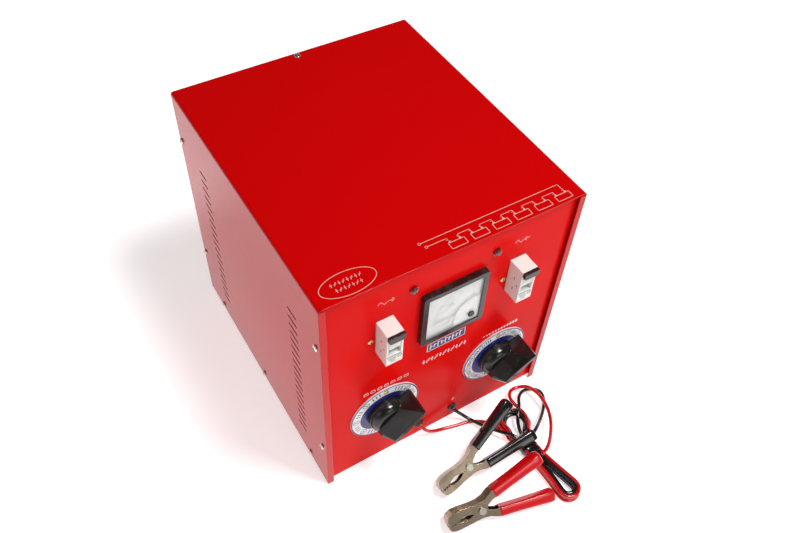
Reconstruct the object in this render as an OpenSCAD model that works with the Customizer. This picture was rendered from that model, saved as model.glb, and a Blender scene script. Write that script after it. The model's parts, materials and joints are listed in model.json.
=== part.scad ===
// Car battery charger: a sheet-metal cabinet with breakers, meter and tap switches on its front panel,
// transformer and rectifier inside, and two clip leads tied in a hank on the floor in front.
// Frame: millimetres, +X to the right, +Y to the back, +Z up, origin at the middle of the underside.

/* [Cabinet] */
// Overall width
cab_w = 280; // [240:1:340]
// Overall depth, front returns to rear edge
cab_d = 320; // [270:1:390]
// Overall height
cab_h = 311; // [285:1:375]
// Thickness of the folded steel sheet
sheet_t = 1.2; // [0.8:0.1:1.6]
// Outer radius of the cover's bends
bend_r = 3; // [2:0.5:6]
// Width of the cover's front returns
return_w = 7; // [5:0.5:10]
// How far the front panel's face is set back from the cover's edge
panel_recess = 4; // [3:0.5:8]
// How far the rear panel's face is set back
rear_recess = 1.5; // [1:0.5:6]
// Depth of the panels' side flanges
flange_d = 12; // [10:0.5:16]
// Height of the base plate's upturned flanges
base_flange_h = 14; // [12:0.5:18]
// Play between the cover and what it slides over
cover_play = 0.3; // [0.2:0.05:0.6]

/* [Cover vents] */
// Slots in each column
vent_rows = 18; // [4:1:19]
// Height of the lowest slot
vent_z = 41.5; // [30:0.5:50]
// Distance from slot to slot
vent_pitch = 12; // [10:0.5:12]
// Length of a slot
vent_l = 18; // [10:0.5:26]
// Width of a slot
vent_w = 2.6; // [1.5:0.1:4]
// Distance of the front column from the cover's front edge
vent_front = 56; // [45:1:70]
// Distance of the rear column from the cover's rear edge
vent_rear = 60.5; // [45:0.5:70]

/* [Cover screws] */
// Diameter of a screw's shank
screw_d = 3.9; // [3:0.1:4.5]
// Diameter of its pan head
screw_head_d = 7; // [6:0.1:8]
// Height of its pan head
screw_head_h = 2.3; // [1.8:0.1:2.8]
// Length of its shank
screw_l = 7; // [5:0.5:9]
// Clearance around a shank
screw_play = 0.15; // [0.1:0.05:0.3]
// Height of the lower screws of the front and rear edges
screw_low_z = 73; // [40:1:100]
// Distance of the upper screws below the top
screw_top_drop = 60; // [40:1:90]
// Height of the bottom row
screw_base_z = 7; // [5.5:0.5:9]
// Distance from the middle to the ends of the bottom row
screw_base_y = 119; // [60:1:125]
// Distance of the edge screws from the panel's or rear panel's face
screw_edge = 4.5; // [4:0.5:7]

/* [Breakers] */
// Distance of each breaker from the middle
breaker_x = 73.8; // [70:0.1:80]
// Distance of the breaker's middle below the top
breaker_drop = 79.7; // [70:0.1:90]
// Width of the housing
breaker_w = 17.5; // [15:0.1:19]
// Height of the nose that stands through the panel
nose_h = 45; // [40:0.5:50]
// How far the nose stands out
nose_out = 19; // [14:0.5:22]
// Height of the housing behind the panel
breaker_h = 82; // [70:1:86]
// Depth of the housing behind the panel
breaker_d = 56; // [45:1:70]
// Height of the toggle's axle above the nose's middle
toggle_up = 4.7; // [2:0.1:6]
// Depth of the toggle's axle inside the nose's front
toggle_in = 13; // [10:0.1:13.4]
// Radius of the toggle's drum
drum_r = 12.8; // [10:0.1:13]
// Reach of the toggle's cap out from its axle
lever_r = 17; // [15.5:0.1:20]
// Angle of the cap's lower edge above level when on, and below level when off
toggle_angle = 38; // [20:1:40]
// Height of the toggle's cap
cap_h = 7.6; // [6:0.1:8]
// Distance of a breaker's brass screws from its middle
breaker_screw_x = 14.3; // [13:0.1:18]
// How far below the breaker's middle those screws are
breaker_screw_drop = 2.8; // [0:0.1:6]

/* [Lamps] */
// Distance of each lamp from the middle
lamp_x = 45; // [42:0.5:50]
// Distance of the lamps below the top
lamp_drop = 33.3; // [30:0.1:36]
// Diameter of the lamp's lens
lamp_d = 8.6; // [7:0.1:10]

/* [Meter] */
// Side of the square bezel
bezel_w = 72; // [68:0.5:76]
// Side of the window
window_w = 61; // [57:0.5:63]
// Distance of the meter's middle below the top
meter_drop = 85; // [78:0.5:90]
// How far the bezel stands out
bezel_out = 6.5; // [6.5:0.1:8]
// Radius of the case behind the panel
can_r = 31; // [29:0.5:32]
// Depth of the case behind the panel
can_d = 38; // [30:1:50]
// Pivot's place right of the meter's middle
pivot_x = 21; // [18:0.5:22]
// Pivot's place below the meter's middle
pivot_drop = 13; // [10:0.5:14]
// Length of the needle from its pivot
needle_l = 43; // [38:0.5:44]
// Radius of the pivot cover's rounded corner
shield_r = 17.5; // [15:0.5:19]

/* [Switches] */
// Distance of each switch from the middle
switch_x = 69.5; // [66:0.5:80]
// Height of the switches
switch_z = 94.5; // [70:0.5:100]
// Radius of the dial plates
dial_r = 40.5; // [38:0.5:42]
// Thickness of the dial plates
dial_t = 1.5; // [1:0.1:2]
// Distance of the plate's screw above the knob's axis
dial_screw_up = 35.5; // [33:0.5:36.5]
// Radius of the knob's skirt
knob_r = 21.5; // [20:0.5:27]
// Height of the knob's front above the panel
knob_out = 36; // [30:0.5:40]
// Height of the skirt's shoulder above the panel
knob_shoulder = 17; // [14:0.5:20]
// Reach of the pointer from the axis
pointer_l = 35; // [30:0.5:36]
// Width of the pointer bar at its base
bar_w = 18; // [14:0.5:20]
// Rest angle of the left pointer above level
coarse_rest = 41; // [30:1:50]
// Rest angle of the right pointer above level
fine_rest = 36; // [30:1:50]
// Radius of the switch's shaft
shaft_r = 3; // [2.5:0.1:3.2]
// Radial running clearance of the shaft in its bush
shaft_play = 0.05; // [0.02:0.01:0.09]
// Radius of the wafer switch behind the panel
wafer_r = 26; // [20:1:30]
// Depth of the wafer switch behind the panel
wafer_d = 40; // [30:1:55]

/* [Leads] */
// Diameter of the clip leads
lead_d = 4.2; // [3.6:0.1:4.6]
// Distance of each lead's grommet from the middle
lead_x = 22; // [15:0.5:30]
// Height of the grommets
lead_z = 22; // [20:0.5:30]
// Outer diameter of a grommet
grommet_d = 11; // [9:0.5:13]
// Height of the hank's loops at its two ends
hank_h = 17; // [14:0.5:20]
// Height of the hank where it is tied
waist_h = 12.5; // [10:0.5:13]
// Width of the hank where it is tied
waist_w = 20; // [16:0.5:22]
// Length of the tie's band along the hank
tie_l = 16; // [8:0.5:20]

/* [Clips] */
// Length of the jaws from the rivet
jaw_l = 39; // [34:0.5:44]
// Thickness of the pressed steel
clip_t = 1; // [0.8:0.1:1.2]
// Width of the outer half along the rivet
clip_w = 14; // [13:0.5:16]
// Clearance between the two halves' walls
clip_play = 0.4; // [0.3:0.05:0.5]
// Radius of the rivet
rivet_r = 2.4; // [2:0.1:2.8]
// Distance of the handles' near end from the rivet
handle_near = 19; // [17:0.5:22]
// Length of a handle's sleeve
sleeve_l = 64; // [56:1:72]
// Distance of the handle's middle line from the clip's axis, level with the rivet
handle_off = 7.8; // [7:0.1:9]
// Angle of a handle from the clip's axis
handle_angle = 10.7; // [9:0.1:13]
// How far a clip opens
clip_open = 14; // [8:1:14]

/* [Transformer] */
// Width of the laminated core
core_w = 132; // [110:1:150]
// Height of the core
core_h = 110; // [90:1:120]
// Stack of the core
core_d = 62; // [50:1:70]
// Width of the middle leg
leg_w = 44; // [36:1:46]
// Place of the transformer behind the middle
core_y = 25; // [15:1:40]

/* [Rectifier] */
// Length of the heat sink
sink_l = 110; // [80:1:120]
// Height of the heat sink
sink_h = 70; // [50:1:80]
// Thickness of the heat sink over its fins
sink_t = 26; // [20:1:32]
// Number of fins
sink_fins = 9; // [5:1:12]

/* [Rear] */
// Outer radius of the mains cord's gland
gland_r = 10; // [8:0.5:12]
// Radius of the gland's bore
gland_bore = 4.2; // [3.5:0.1:5]
// Height of the gland
gland_z = 45; // [35:1:60]
// Distance of the gland left of the middle, seen from the front
gland_x = 80; // [60:1:90]

/* [Hidden] */

// Cabinet planes
panel_y = -cab_d / 2 + panel_recess;
panel_back = panel_y + sheet_t;
rear_y = cab_d / 2 - rear_recess;
inner_x = cab_w / 2 - sheet_t - cover_play;
inner_top = cab_h - sheet_t - cover_play;
panel_bottom = 3;
flange_z = base_flange_h + 2;
breaker_z = cab_h - breaker_drop;
lamp_z = cab_h - lamp_drop;
meter_z = cab_h - meter_drop;
screw_high_z = cab_h - screw_top_drop;
front_screw_y = panel_y + screw_edge;
rear_screw_y = rear_y - screw_edge;
shank_hole_r = screw_d / 2 + screw_play;

// Small parts
small_screw_r = 1.45;
small_head_r = 2.9;
small_head_h = 1.7;
small_screw_l = 6;
fit = 0.1;
through = 1;

// Meter layers, measured out from the panel's face
flange_s = 1.4;
dial_s = 1.6;
needle_s = 3;
needle_t = 0.3;
shield_s = 3.9;
shield_t = 0.4;
glass_s = 4.7;
glass_t = 1.1;
spindle_r = 0.6;
zero_r = 2.5;
zero_x = 21.3;
zero_drop = 20.5;

// Breaker toggle: the cap clears the nose's front by cap_gap, and the slot clears the neck by slot_gap
cap_gap = 0.4;
slot_gap = 0.4;
nose_wall = 2.1;
slot_w = breaker_w - 2 * nose_wall;
drum_w = slot_w - 2 * slot_gap;
cap_w = breaker_w - 0.5;
cap_s = toggle_in + cap_gap;
cap_up = cap_s * tan(toggle_angle);
cap_t = lever_r - cap_s;
neck_w = drum_w - 1;
neck_t = 6;
neck_lean = 2;
neck_angle = toggle_angle + neck_lean;
neck_low = toggle_angle - neck_lean;
slot_high = toggle_in * tan(neck_angle) + neck_t / 2 / cos(neck_angle) + slot_gap;
slot_low = toggle_in * tan(neck_low) + neck_t / 2 / cos(neck_low) + slot_gap;

// Switch parts
bush_r = 4.8;
bush_out = 7.5;
nut_r = 7;
nut_t = 2.4;
skirt_gap = 0.6;
skirt_s = dial_t + skirt_gap;
hub_hollow_r = 9.5;
hub_hollow_s = 9.5;

// Clip
clip_inner = clip_w - 2 * clip_t - 2 * clip_play;
ear_r = 6.3;
sleeve_d = 10.4;
sleeve_wall = 0.9;
handle_d = sleeve_d - 2 * sleeve_wall - 0.3;
handle_end_gap = 9;
spring_r = 3.9;
spring_wire = 1.3;

// Clip poses: turn about Z, tilt of the handles upwards, lean about the clip's own axis, rivet's place
black_pose = [8.4, 14.8, 32, [-3.5, -226.7, 19.4]];
red_pose = [-5.5, 6.5, 45, [-18.3, -272, 16.3]];

// Lead routes, points along the centre line
lead_r = lead_d / 2;
black_out = [[lead_x, -148, lead_z], [lead_x, -154, lead_z], [22.3, -160.5, 21.5], [25.5, -164, 17.5],
             [30, -166.5, 12], [34, -171, 8.6], [39, -179, 7.2], [46, -191, 7.8], [54, -205, 10.5], [64, -220, 12.5]];
red_out = [[-lead_x, -148, lead_z], [-lead_x, -154, lead_z], [-21.7, -160.5, 21.3], [-19, -163.5, 16.5],
           [-13, -165, 9.5], [-5, -166, 4.6], [5, -167.5, 2.4], [19, -171, 2.2], [36, -175, 2.2],
           [51, -184, 2.2], [60, -198, 4], [69, -209, 6]];
black_loop = [[78, -234, 28], [88, -229, 25], [106, -217, 14], [120, -206, 7], [129, -196, 4],
              [132, -185, 4], [125, -177, 4], [113, -175, 6.5], [101, -180, 11.5], [92, -189, 14], [86, -198, 14]];
red_loop = [[68, -262, 39], [80, -257, 36], [97, -243, 27], [112, -226, 19], [121, -208, 15],
            [123, -190, 14], [119, -176, 12.5], [109, -169, 10], [98, -170, 8.5], [89, -178, 9.5], [83, -194, 11]];
lead_sides = 10;
steps_per_span = 3;

// Middle of the hank's tie, and the hank's direction there, clockwise from straight ahead
tie_x = 74;
tie_y = -239;
tie_turn = 4;
tie_wall = 0.7;

function unit(v) = v / norm(v);
function clamp_index(i, n) = max(0, min(n - 1, i));
// Point on the smooth curve through p, between points i and i + 1
function curve_point(a, b, c, d, t) =
  0.5 * (2 * b + (c - a) * t + (2 * a - 5 * b + 4 * c - d) * t * t + (3 * b - a - 3 * c + d) * t * t * t);
function smooth(p, k) = [
  for (i = [0:len(p) - 2])
    for (j = [0:k - 1])
      curve_point(p[clamp_index(i - 1, len(p))], p[i], p[i + 1], p[clamp_index(i + 2, len(p))], j / k),
  p[len(p) - 1]];
function tangent(p, i) = unit(p[clamp_index(i + 1, len(p))] - p[clamp_index(i - 1, len(p))]);
// A normal carried along the line without twisting
function carried(n, t) = unit(n - (n * t) * t);
function normals(p, first) = [
  for (i = 0, n = carried(first, tangent(p, 0)); i < len(p);
       i = i + 1, n = i < len(p) ? carried(n, tangent(p, i)) : n) n];

// A round tube along the points p
module tube(p, r, sides, first = [0, 0, 1]) {
  n = normals(p, first);
  rings = [for (i = [0:len(p) - 1]) for (k = [0:sides - 1])
    let(t = tangent(p, i), a = 360 * k / sides) p[i] + r * (cos(a) * n[i] + sin(a) * cross(t, n[i]))];
  sides_of = [for (i = [0:len(p) - 2]) for (k = [0:sides - 1])
    let(a = i * sides + k, b = i * sides + (k + 1) % sides) each [[a, a + sides, b + sides], [a, b + sides, b]]];
  last = (len(p) - 1) * sides;
  caps = [[for (k = [0:sides - 1]) k], [for (k = [sides - 1:-1:0]) last + k]];
  polyhedron(rings, concat(sides_of, caps), convexity = 6);
}

// Local Z points out of the front panel, local Y up
module on_panel(x, z, s = 0) {
  translate([x, panel_y - s, z]) rotate([90, 0, 0]) children();
}

// A solid or hole of radius r from stand-off a to b on the panel
module panel_rod(x, z, a, b, r, sides = 48) {
  on_panel(x, z, a) cylinder(h = b - a, r = r, $fn = sides);
}

// Local Z points out of the left (-1) or right (1) side
module on_side(dir, y, z) {
  translate([dir * cab_w / 2, y, z]) rotate([0, 90 * dir, 0]) children();
}

module rounded_square(w, h, r) {
  square([w - 2 * r, h], center = true);
  square([w, h - 2 * r], center = true);
  for (sx = [-1, 1])
    for (sy = [-1, 1])
      translate([sx * (w / 2 - r), sy * (h / 2 - r)]) circle(r, $fn = 32);
}

// ---- Cabinet ----

module arch(w, h, r) {
  translate([-w / 2, 0]) square([w, h - r]);
  translate([-w / 2 + r, 0]) square([w - 2 * r, h]);
  for (sx = [-1, 1])
    translate([sx * (w / 2 - r), h - r]) circle(r, $fn = 48);
}

module slot_shape() {
  square([vent_l - vent_w, vent_w], center = true);
  for (sy = [-1, 1])
    translate([sy * (vent_l - vent_w) / 2, 0]) circle(vent_w / 2, $fn = 16);
}

module vent_cutters() {
  for (y = [-cab_d / 2 + vent_front, cab_d / 2 - vent_rear])
    for (i = [0:vent_rows - 1])
      translate([-cab_w, y, vent_z + i * vent_pitch])
        rotate([90, 0, 90]) linear_extrude(2 * cab_w) slot_shape();
}

// Every place of a cover screw: children are drawn with local Z outwards from the cover's face
module cover_screw_places() {
  for (dir = [-1, 1]) {
    for (z = [screw_low_z, screw_high_z])
      for (y = [front_screw_y, rear_screw_y])
        on_side(dir, y, z) children();
    for (y = [-screw_base_y, 0, screw_base_y])
      on_side(dir, y, screw_base_z) children();
  }
  translate([0, rear_screw_y, cab_h]) children();
}

module shank_holes() {
  cover_screw_places()
    translate([0, 0, -sheet_t * 3]) cylinder(h = sheet_t * 3 + through, r = shank_hole_r, $fn = 32);
}

module cover() {
  color("red")
  difference() {
    union() {
      translate([0, cab_d / 2, 0]) rotate([90, 0, 0]) linear_extrude(cab_d)
        difference() {
          arch(cab_w, cab_h, bend_r);
          translate([0, -through]) arch(cab_w - 2 * sheet_t, cab_h - sheet_t + through, bend_r - sheet_t);
        }
      for (dir = [-1, 1])
        translate([dir * (cab_w - return_w) / 2, -cab_d / 2 + sheet_t / 2, (cab_h - bend_r) / 2])
          cube([return_w, sheet_t, cab_h - bend_r], center = true);
    }
    vent_cutters();
    shank_holes();
  }
}

// Holes of the front panel, drawn on the panel's own plane
module panel_openings() {
  for (sx = [-1, 1]) {
    translate([sx * breaker_x, breaker_z]) square([breaker_w + 0.6, nose_h + 0.6], center = true);
    for (dx = [-1, 1])
      translate([sx * breaker_x + dx * breaker_screw_x, breaker_z - breaker_screw_drop])
        circle(small_screw_r + fit, $fn = 24);
    translate([sx * lamp_x, lamp_z]) circle(lamp_d / 2 - 1 + fit, $fn = 32);
    translate([sx * switch_x, switch_z]) circle(bush_r + fit, $fn = 48);
    translate([sx * switch_x, switch_z + dial_screw_up]) circle(small_screw_r + fit, $fn = 24);
    translate([sx * lead_x, lead_z]) circle(grommet_d / 2 - 1.2, $fn = 32);
  }
  translate([0, meter_z]) circle(can_r + 0.4, $fn = 96);
}

module front_panel() {
  color("firebrick")
  difference() {
    union() {
      on_panel(0, 0, -sheet_t) linear_extrude(sheet_t)
        difference() {
          translate([-inner_x, panel_bottom]) square([2 * inner_x, inner_top - panel_bottom - bend_r]);
          panel_openings();
        }
      translate([-inner_x + bend_r, panel_y, inner_top - bend_r - through])
        cube([2 * (inner_x - bend_r), sheet_t, bend_r + through]);
      translate([-inner_x + bend_r, panel_y, inner_top - sheet_t])
        cube([2 * (inner_x - bend_r), flange_d, sheet_t]);
      for (dir = [-1, 1])
        translate([dir * (inner_x - sheet_t / 2), panel_y + flange_d / 2, (flange_z + inner_top - bend_r) / 2])
          cube([sheet_t, flange_d, inner_top - bend_r - flange_z], center = true);
    }
    shank_holes();
  }
}

module rear_panel() {
  color("firebrick")
  difference() {
    union() {
      translate([-inner_x, rear_y - sheet_t, panel_bottom])
        cube([2 * inner_x, sheet_t, inner_top - panel_bottom - bend_r]);
      translate([-inner_x + bend_r, rear_y - sheet_t, inner_top - bend_r - through])
        cube([2 * (inner_x - bend_r), sheet_t, bend_r + through]);
      translate([-inner_x + bend_r, rear_y - flange_d, inner_top - sheet_t])
        cube([2 * (inner_x - bend_r), flange_d, sheet_t]);
      for (dir = [-1, 1])
        translate([dir * (inner_x - sheet_t / 2), rear_y - flange_d / 2, (flange_z + inner_top - bend_r) / 2])
          cube([sheet_t, flange_d, inner_top - bend_r - flange_z], center = true);
    }
    shank_holes();
    translate([-gland_x, rear_y + through, gland_z]) rotate([90, 0, 0])
      cylinder(h = sheet_t + 2 * through, r = gland_r - 2.2 + fit, $fn = 48);
  }
}

module base_plate() {
  front = panel_back + fit;
  back = rear_y - sheet_t - fit;
  color("dimgray")
  difference() {
    union() {
      translate([-inner_x, front, 0]) cube([2 * inner_x, back - front, sheet_t]);
      for (dir = [-1, 1])
        translate([dir * (inner_x - sheet_t / 2), (front + back) / 2, base_flange_h / 2])
          cube([sheet_t, back - front, base_flange_h], center = true);
      for (y = [front, back - sheet_t])
        translate([-inner_x, y, 0]) cube([2 * inner_x, sheet_t, base_flange_h]);
    }
    shank_holes();
  }
}

module pan_screw(r, head_r, head_h, l) {
  recess = head_r * 0.55;
  difference() {
    union() {
      translate([0, 0, -l]) cylinder(h = l + fit, r = r, $fn = 24);
      rotate_extrude($fn = 32)
        polygon([[0, 0], [head_r, 0], [head_r, head_h * 0.35],
                 for (a = [15:15:75]) [head_r * cos(a) * 0.92 + head_r * 0.04, head_h * (0.35 + 0.65 * sin(a))],
                 [0, head_h]]);
    }
    for (a = [0, 90])
      rotate([0, 0, a]) translate([-recess, -head_r * 0.13, head_h * 0.45])
        cube([2 * recess, head_r * 0.26, head_h]);
  }
}

module cover_screws() {
  color("silver") cover_screw_places() translate([0, 0, 0.02])
    pan_screw(screw_d / 2, screw_head_d / 2, screw_head_h, screw_l);
}

// ---- Breakers ----

// Axle of a toggle, local Z outwards and local Y up
module at_toggle(x) {
  on_panel(x, breaker_z + toggle_up, nose_out - toggle_in) children();
}

module breaker(x) {
  difference() {
    union() {
      on_panel(x, breaker_z, -sheet_t - 0.3)
        translate([-breaker_w / 2, -nose_h / 2, 0]) cube([breaker_w, nose_h, nose_out + sheet_t + 0.3]);
      on_panel(x, breaker_z, -sheet_t - 0.3 - breaker_d)
        translate([-breaker_w / 2, -breaker_h / 2, 0]) cube([breaker_w, breaker_h, breaker_d]);
    }
    at_toggle(x) rotate([0, 90, 0]) cylinder(h = slot_w, r = drum_r + slot_gap, center = true, $fn = 64);
    at_toggle(x) translate([-slot_w / 2, -slot_low, 0]) cube([slot_w, slot_low + slot_high, nose_out]);
    on_panel(x, breaker_z - nose_h * 0.12, nose_out - 0.5)
      translate([-breaker_w, -0.35, 0]) cube([2 * breaker_w, 0.7, 2]);
    on_panel(x, breaker_z, -sheet_t - 0.3 - breaker_d)
      translate([-breaker_w, -6, -through]) cube([2 * breaker_w, 12, 2.5]);
  }
}

module toggle(x) {
  at_toggle(x) {
    rotate([0, 90, 0]) cylinder(h = drum_w, r = drum_r, center = true, $fn = 64);
    rotate([-neck_angle, 0, 0]) translate([-neck_w / 2, -neck_t / 2, 0])
      cube([neck_w, neck_t, norm([cap_s, cap_up]) + 1]);
    difference() {
      translate([-cap_w / 2, cap_up, cap_s]) cube([cap_w, cap_h, cap_t]);
      for (sx = [-1, 1])
        translate([sx * cap_w / 2, cap_up, 0]) rotate([0, 0, 45]) cube([3, 3, 4 * toggle_in], center = true);
    }
  }
}

module input_breaker() {
  color("ivory") breaker(-breaker_x);
}

module output_breaker() {
  color("ivory") breaker(breaker_x);
}

module input_toggle() {
  color("black") toggle(-breaker_x);
}

module output_toggle() {
  color("black") toggle(breaker_x);
}

// A strap around the back of each breaker, with ears screwed behind the panel
module breaker_brackets() {
  gap = 0.4;
  strap_w = 14;
  z = breaker_z - breaker_screw_drop;
  back = sheet_t + 0.3 + breaker_d + gap;
  color("silver")
  difference() {
    for (sx = [-1, 1])
      for (dx = [-1, 1]) {
        on_panel(sx * breaker_x + dx * (breaker_w / 2 + gap + sheet_t / 2), z, -back - sheet_t)
          translate([-sheet_t / 2, -strap_w / 2, 0]) cube([sheet_t, strap_w, back]);
        on_panel(sx * breaker_x + dx * (breaker_w / 2 + gap + 5), z, -2 * sheet_t)
          translate([-5, -strap_w / 2, 0]) cube([10, strap_w, sheet_t]);
      }
    for (sx = [-1, 1])
      on_panel(sx * breaker_x, z, -back - sheet_t)
        translate([-breaker_w / 2 - gap - sheet_t, -strap_w / 2, 0])
          cube([breaker_w + 2 * gap + 2 * sheet_t, strap_w, sheet_t]);
    for (sx = [-1, 1])
      for (dx = [-1, 1])
        panel_rod(sx * breaker_x + dx * breaker_screw_x, z, -4 * sheet_t, sheet_t, small_screw_r + fit, 24);
  }
}

module breaker_screws() {
  color("gold")
  for (sx = [-1, 1])
    for (dx = [-1, 1])
      on_panel(sx * breaker_x + dx * breaker_screw_x, breaker_z - breaker_screw_drop, 0.02)
        pan_screw(small_screw_r, small_head_r, small_head_h, small_screw_l);
}

// ---- Lamps ----

module lamp(x) {
  stem_r = lamp_d / 2 - 1;
  on_panel(x, lamp_z, 0.02) rotate_extrude($fn = 40)
    polygon([[0, -16], [stem_r, -16], [stem_r, 0], [lamp_d / 2, 0], [lamp_d / 2, 1.6],
             for (a = [0:15:75]) [(lamp_d / 2 - 0.5) * cos(a), 1.6 + 2.6 * sin(a)], [0, 4.2]]);
}

module input_lamp() {
  color("darkred") lamp(-lamp_x);
}

module output_lamp() {
  color("darkred") lamp(lamp_x);
}

module ring_nut(x, z, s, across, hole, t) {
  on_panel(x, z, s) difference() {
    cylinder(h = t, r = across, $fn = 6);
    translate([0, 0, -through]) cylinder(h = t + 2 * through, r = hole, $fn = 32);
  }
}

module lamp_nuts() {
  color("silver")
  for (sx = [-1, 1])
    ring_nut(sx * lamp_x, lamp_z, -sheet_t - 2.6, lamp_d * 0.75, lamp_d / 2 - 1 + fit, 2.5);
}

// ---- Meter ----

module meter_bezel() {
  color("black") on_panel(0, meter_z) difference() {
    linear_extrude(bezel_out) rounded_square(bezel_w, bezel_w, 2.5);
    translate([0, 0, glass_s - fit]) linear_extrude(bezel_out) square(window_w, center = true);
    translate([0, 0, -through]) linear_extrude(glass_s + glass_t + fit + through)
      square(window_w + 3, center = true);
  }
}

module meter_glass() {
  color("lightcyan", 0.4) on_panel(0, meter_z, glass_s) difference() {
    linear_extrude(glass_t) square(window_w + 2.7, center = true);
    translate([zero_x, -zero_drop, -through]) cylinder(h = glass_t + 2 * through, r = zero_r + 0.05, $fn = 48);
  }
}

module meter_dial() {
  color("white") on_panel(0, meter_z, dial_s) difference() {
    linear_extrude(0.6) square(window_w + 2.6, center = true);
    translate([pivot_x, -pivot_drop, -through]) cylinder(h = 3, r = 3, $fn = 32);
  }
}

module meter_needle() {
  color("dimgray") on_panel(pivot_x, meter_z - pivot_drop) {
    translate([0, 0, -can_d + 6]) cylinder(h = can_d - 6 + needle_s + 0.6, r = spindle_r, $fn = 24);
    translate([0, 0, needle_s]) cylinder(h = needle_t, r = 2, $fn = 32);
    translate([0, 0, needle_s]) linear_extrude(needle_t)
      polygon([[-needle_l, -0.25], [-needle_l, 0.25], [0, 0.7], [7, 0.9], [7, -0.9], [0, -0.7]]);
  }
}

module meter_zero_screw() {
  color("black") on_panel(zero_x, meter_z - zero_drop) difference() {
    union() {
      translate([0, 0, shield_s + shield_t + 0.2]) cylinder(h = bezel_out - shield_s - shield_t, r = zero_r, $fn = 48);
      translate([0, 0, glass_s + glass_t + 0.05]) cylinder(h = 1.1, r = 3.7, $fn = 48);
    }
    translate([-4, -0.4, glass_s + glass_t + 0.6]) cube([8, 0.8, 3]);
  }
}

// White cover over the pivot, in the window's lower right corner, standing on two posts
module meter_shield() {
  edge = window_w / 2 + 1.2;
  corner_x = 20;
  corner_drop = 15;
  post_r = 1.2;
  color("white") on_panel(0, meter_z) {
    translate([0, 0, shield_s]) linear_extrude(shield_t) intersection() {
      square(2 * edge, center = true);
      union() {
        translate([corner_x, -corner_drop]) circle(shield_r, $fn = 96);
        translate([corner_x, -edge]) square([edge, edge - corner_drop + shield_r]);
        translate([corner_x - shield_r, -edge]) square([edge + shield_r, edge - corner_drop]);
      }
    }
    for (p = [[28.5, -1.5], [4.5, -28.5]])
      translate([p[0], p[1], dial_s + 0.6]) cylinder(h = shield_s - dial_s - 0.6, r = post_r, $fn = 24);
  }
}

module meter_case() {
  wall = 2;
  color("black") on_panel(0, meter_z) difference() {
    union() {
      linear_extrude(flange_s) square(window_w + 2.6, center = true);
      translate([0, 0, -can_d]) cylinder(h = can_d + fit, r = can_r, $fn = 96);
    }
    translate([0, 0, -can_d + wall]) cylinder(h = can_d + flange_s, r = can_r - wall, $fn = 96);
    for (sx = [-1, 1])
      translate([sx * 14, 0, -can_d - through]) cylinder(h = 2 * wall + through, r = 2.1, $fn = 24);
  }
}

module meter_studs() {
  color("gold")
  for (sx = [-1, 1])
    on_panel(sx * 14, meter_z, -can_d) {
      translate([0, 0, -12]) cylinder(h = 15, r = 2, $fn = 24);
      translate([0, 0, -3.3]) cylinder(h = 3.2, r = 4.2, $fn = 6);
    }
}

// ---- Tap switches ----

module dial_plate(x) {
  on_panel(x, switch_z) difference() {
    cylinder(h = dial_t, r = dial_r, $fn = 128);
    translate([0, 0, -through]) cylinder(h = dial_t + 2 * through, r = bush_r + fit, $fn = 48);
    translate([0, dial_screw_up, -through]) cylinder(h = dial_t + 2 * through, r = small_screw_r + fit, $fn = 24);
  }
}

module coarse_dial() {
  color("white") dial_plate(-switch_x);
}

module fine_dial() {
  color("white") dial_plate(switch_x);
}

module dial_screws() {
  color("gold")
  for (sx = [-1, 1])
    on_panel(sx * switch_x, switch_z + dial_screw_up, dial_t + 0.02)
      pan_screw(small_screw_r, small_head_r, small_head_h, small_screw_l);
}

slice_t = 0.1;

// One level of the pointer bar: tail behind the axis, straight sides, and a nose tapering to the pointer's tip
module bar_slice(tail, w, corner, tip) {
  linear_extrude(slice_t)
    polygon([[-tail + corner, -w / 2], [6, -w / 2], [pointer_l, -tip], [pointer_l, tip],
             [6, w / 2], [-tail + corner, w / 2], [-tail, w / 2 - corner], [-tail, -w / 2 + corner]]);
}

module knob(x, rest) {
  tail = 19;
  nose_half = 2.2;
  front_w = 7;
  mid_s = 22;
  arc_h = knob_shoulder - skirt_s - 5;
  on_panel(x, switch_z) rotate([0, 0, rest]) difference() {
    union() {
      rotate_extrude($fn = 96)
        polygon([[0, skirt_s], [knob_r, skirt_s], [knob_r, skirt_s + 5],
                 for (a = [10:10:80]) [knob_r * (0.62 + 0.38 * cos(a)), skirt_s + 5 + arc_h * sin(a)],
                 [knob_r * 0.62, knob_shoulder], [0, knob_shoulder]]);
      hull() {
        translate([0, 0, skirt_s + 2]) bar_slice(tail, bar_w, 5, nose_half);
        translate([0, 0, mid_s]) bar_slice(tail - 1, (bar_w + front_w) / 2, 3, nose_half);
        translate([0, 0, knob_out - slice_t]) bar_slice(9, front_w, 1, nose_half * 0.8);
      }
    }
    cylinder(h = hub_hollow_s, r = hub_hollow_r, $fn = 64);
    cylinder(h = knob_out - 5, r = shaft_r + fit, $fn = 48);
  }
}

module coarse_knob() {
  color("black") knob(-switch_x, coarse_rest);
}

module fine_knob() {
  color("black") knob(switch_x, fine_rest);
}

module switch_shaft(x) {
  panel_rod(x, switch_z, -sheet_t - wafer_d + 6, knob_out - 6, shaft_r);
}

module coarse_shaft() {
  color("silver") switch_shaft(-switch_x);
}

module fine_shaft() {
  color("silver") switch_shaft(switch_x);
}

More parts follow.
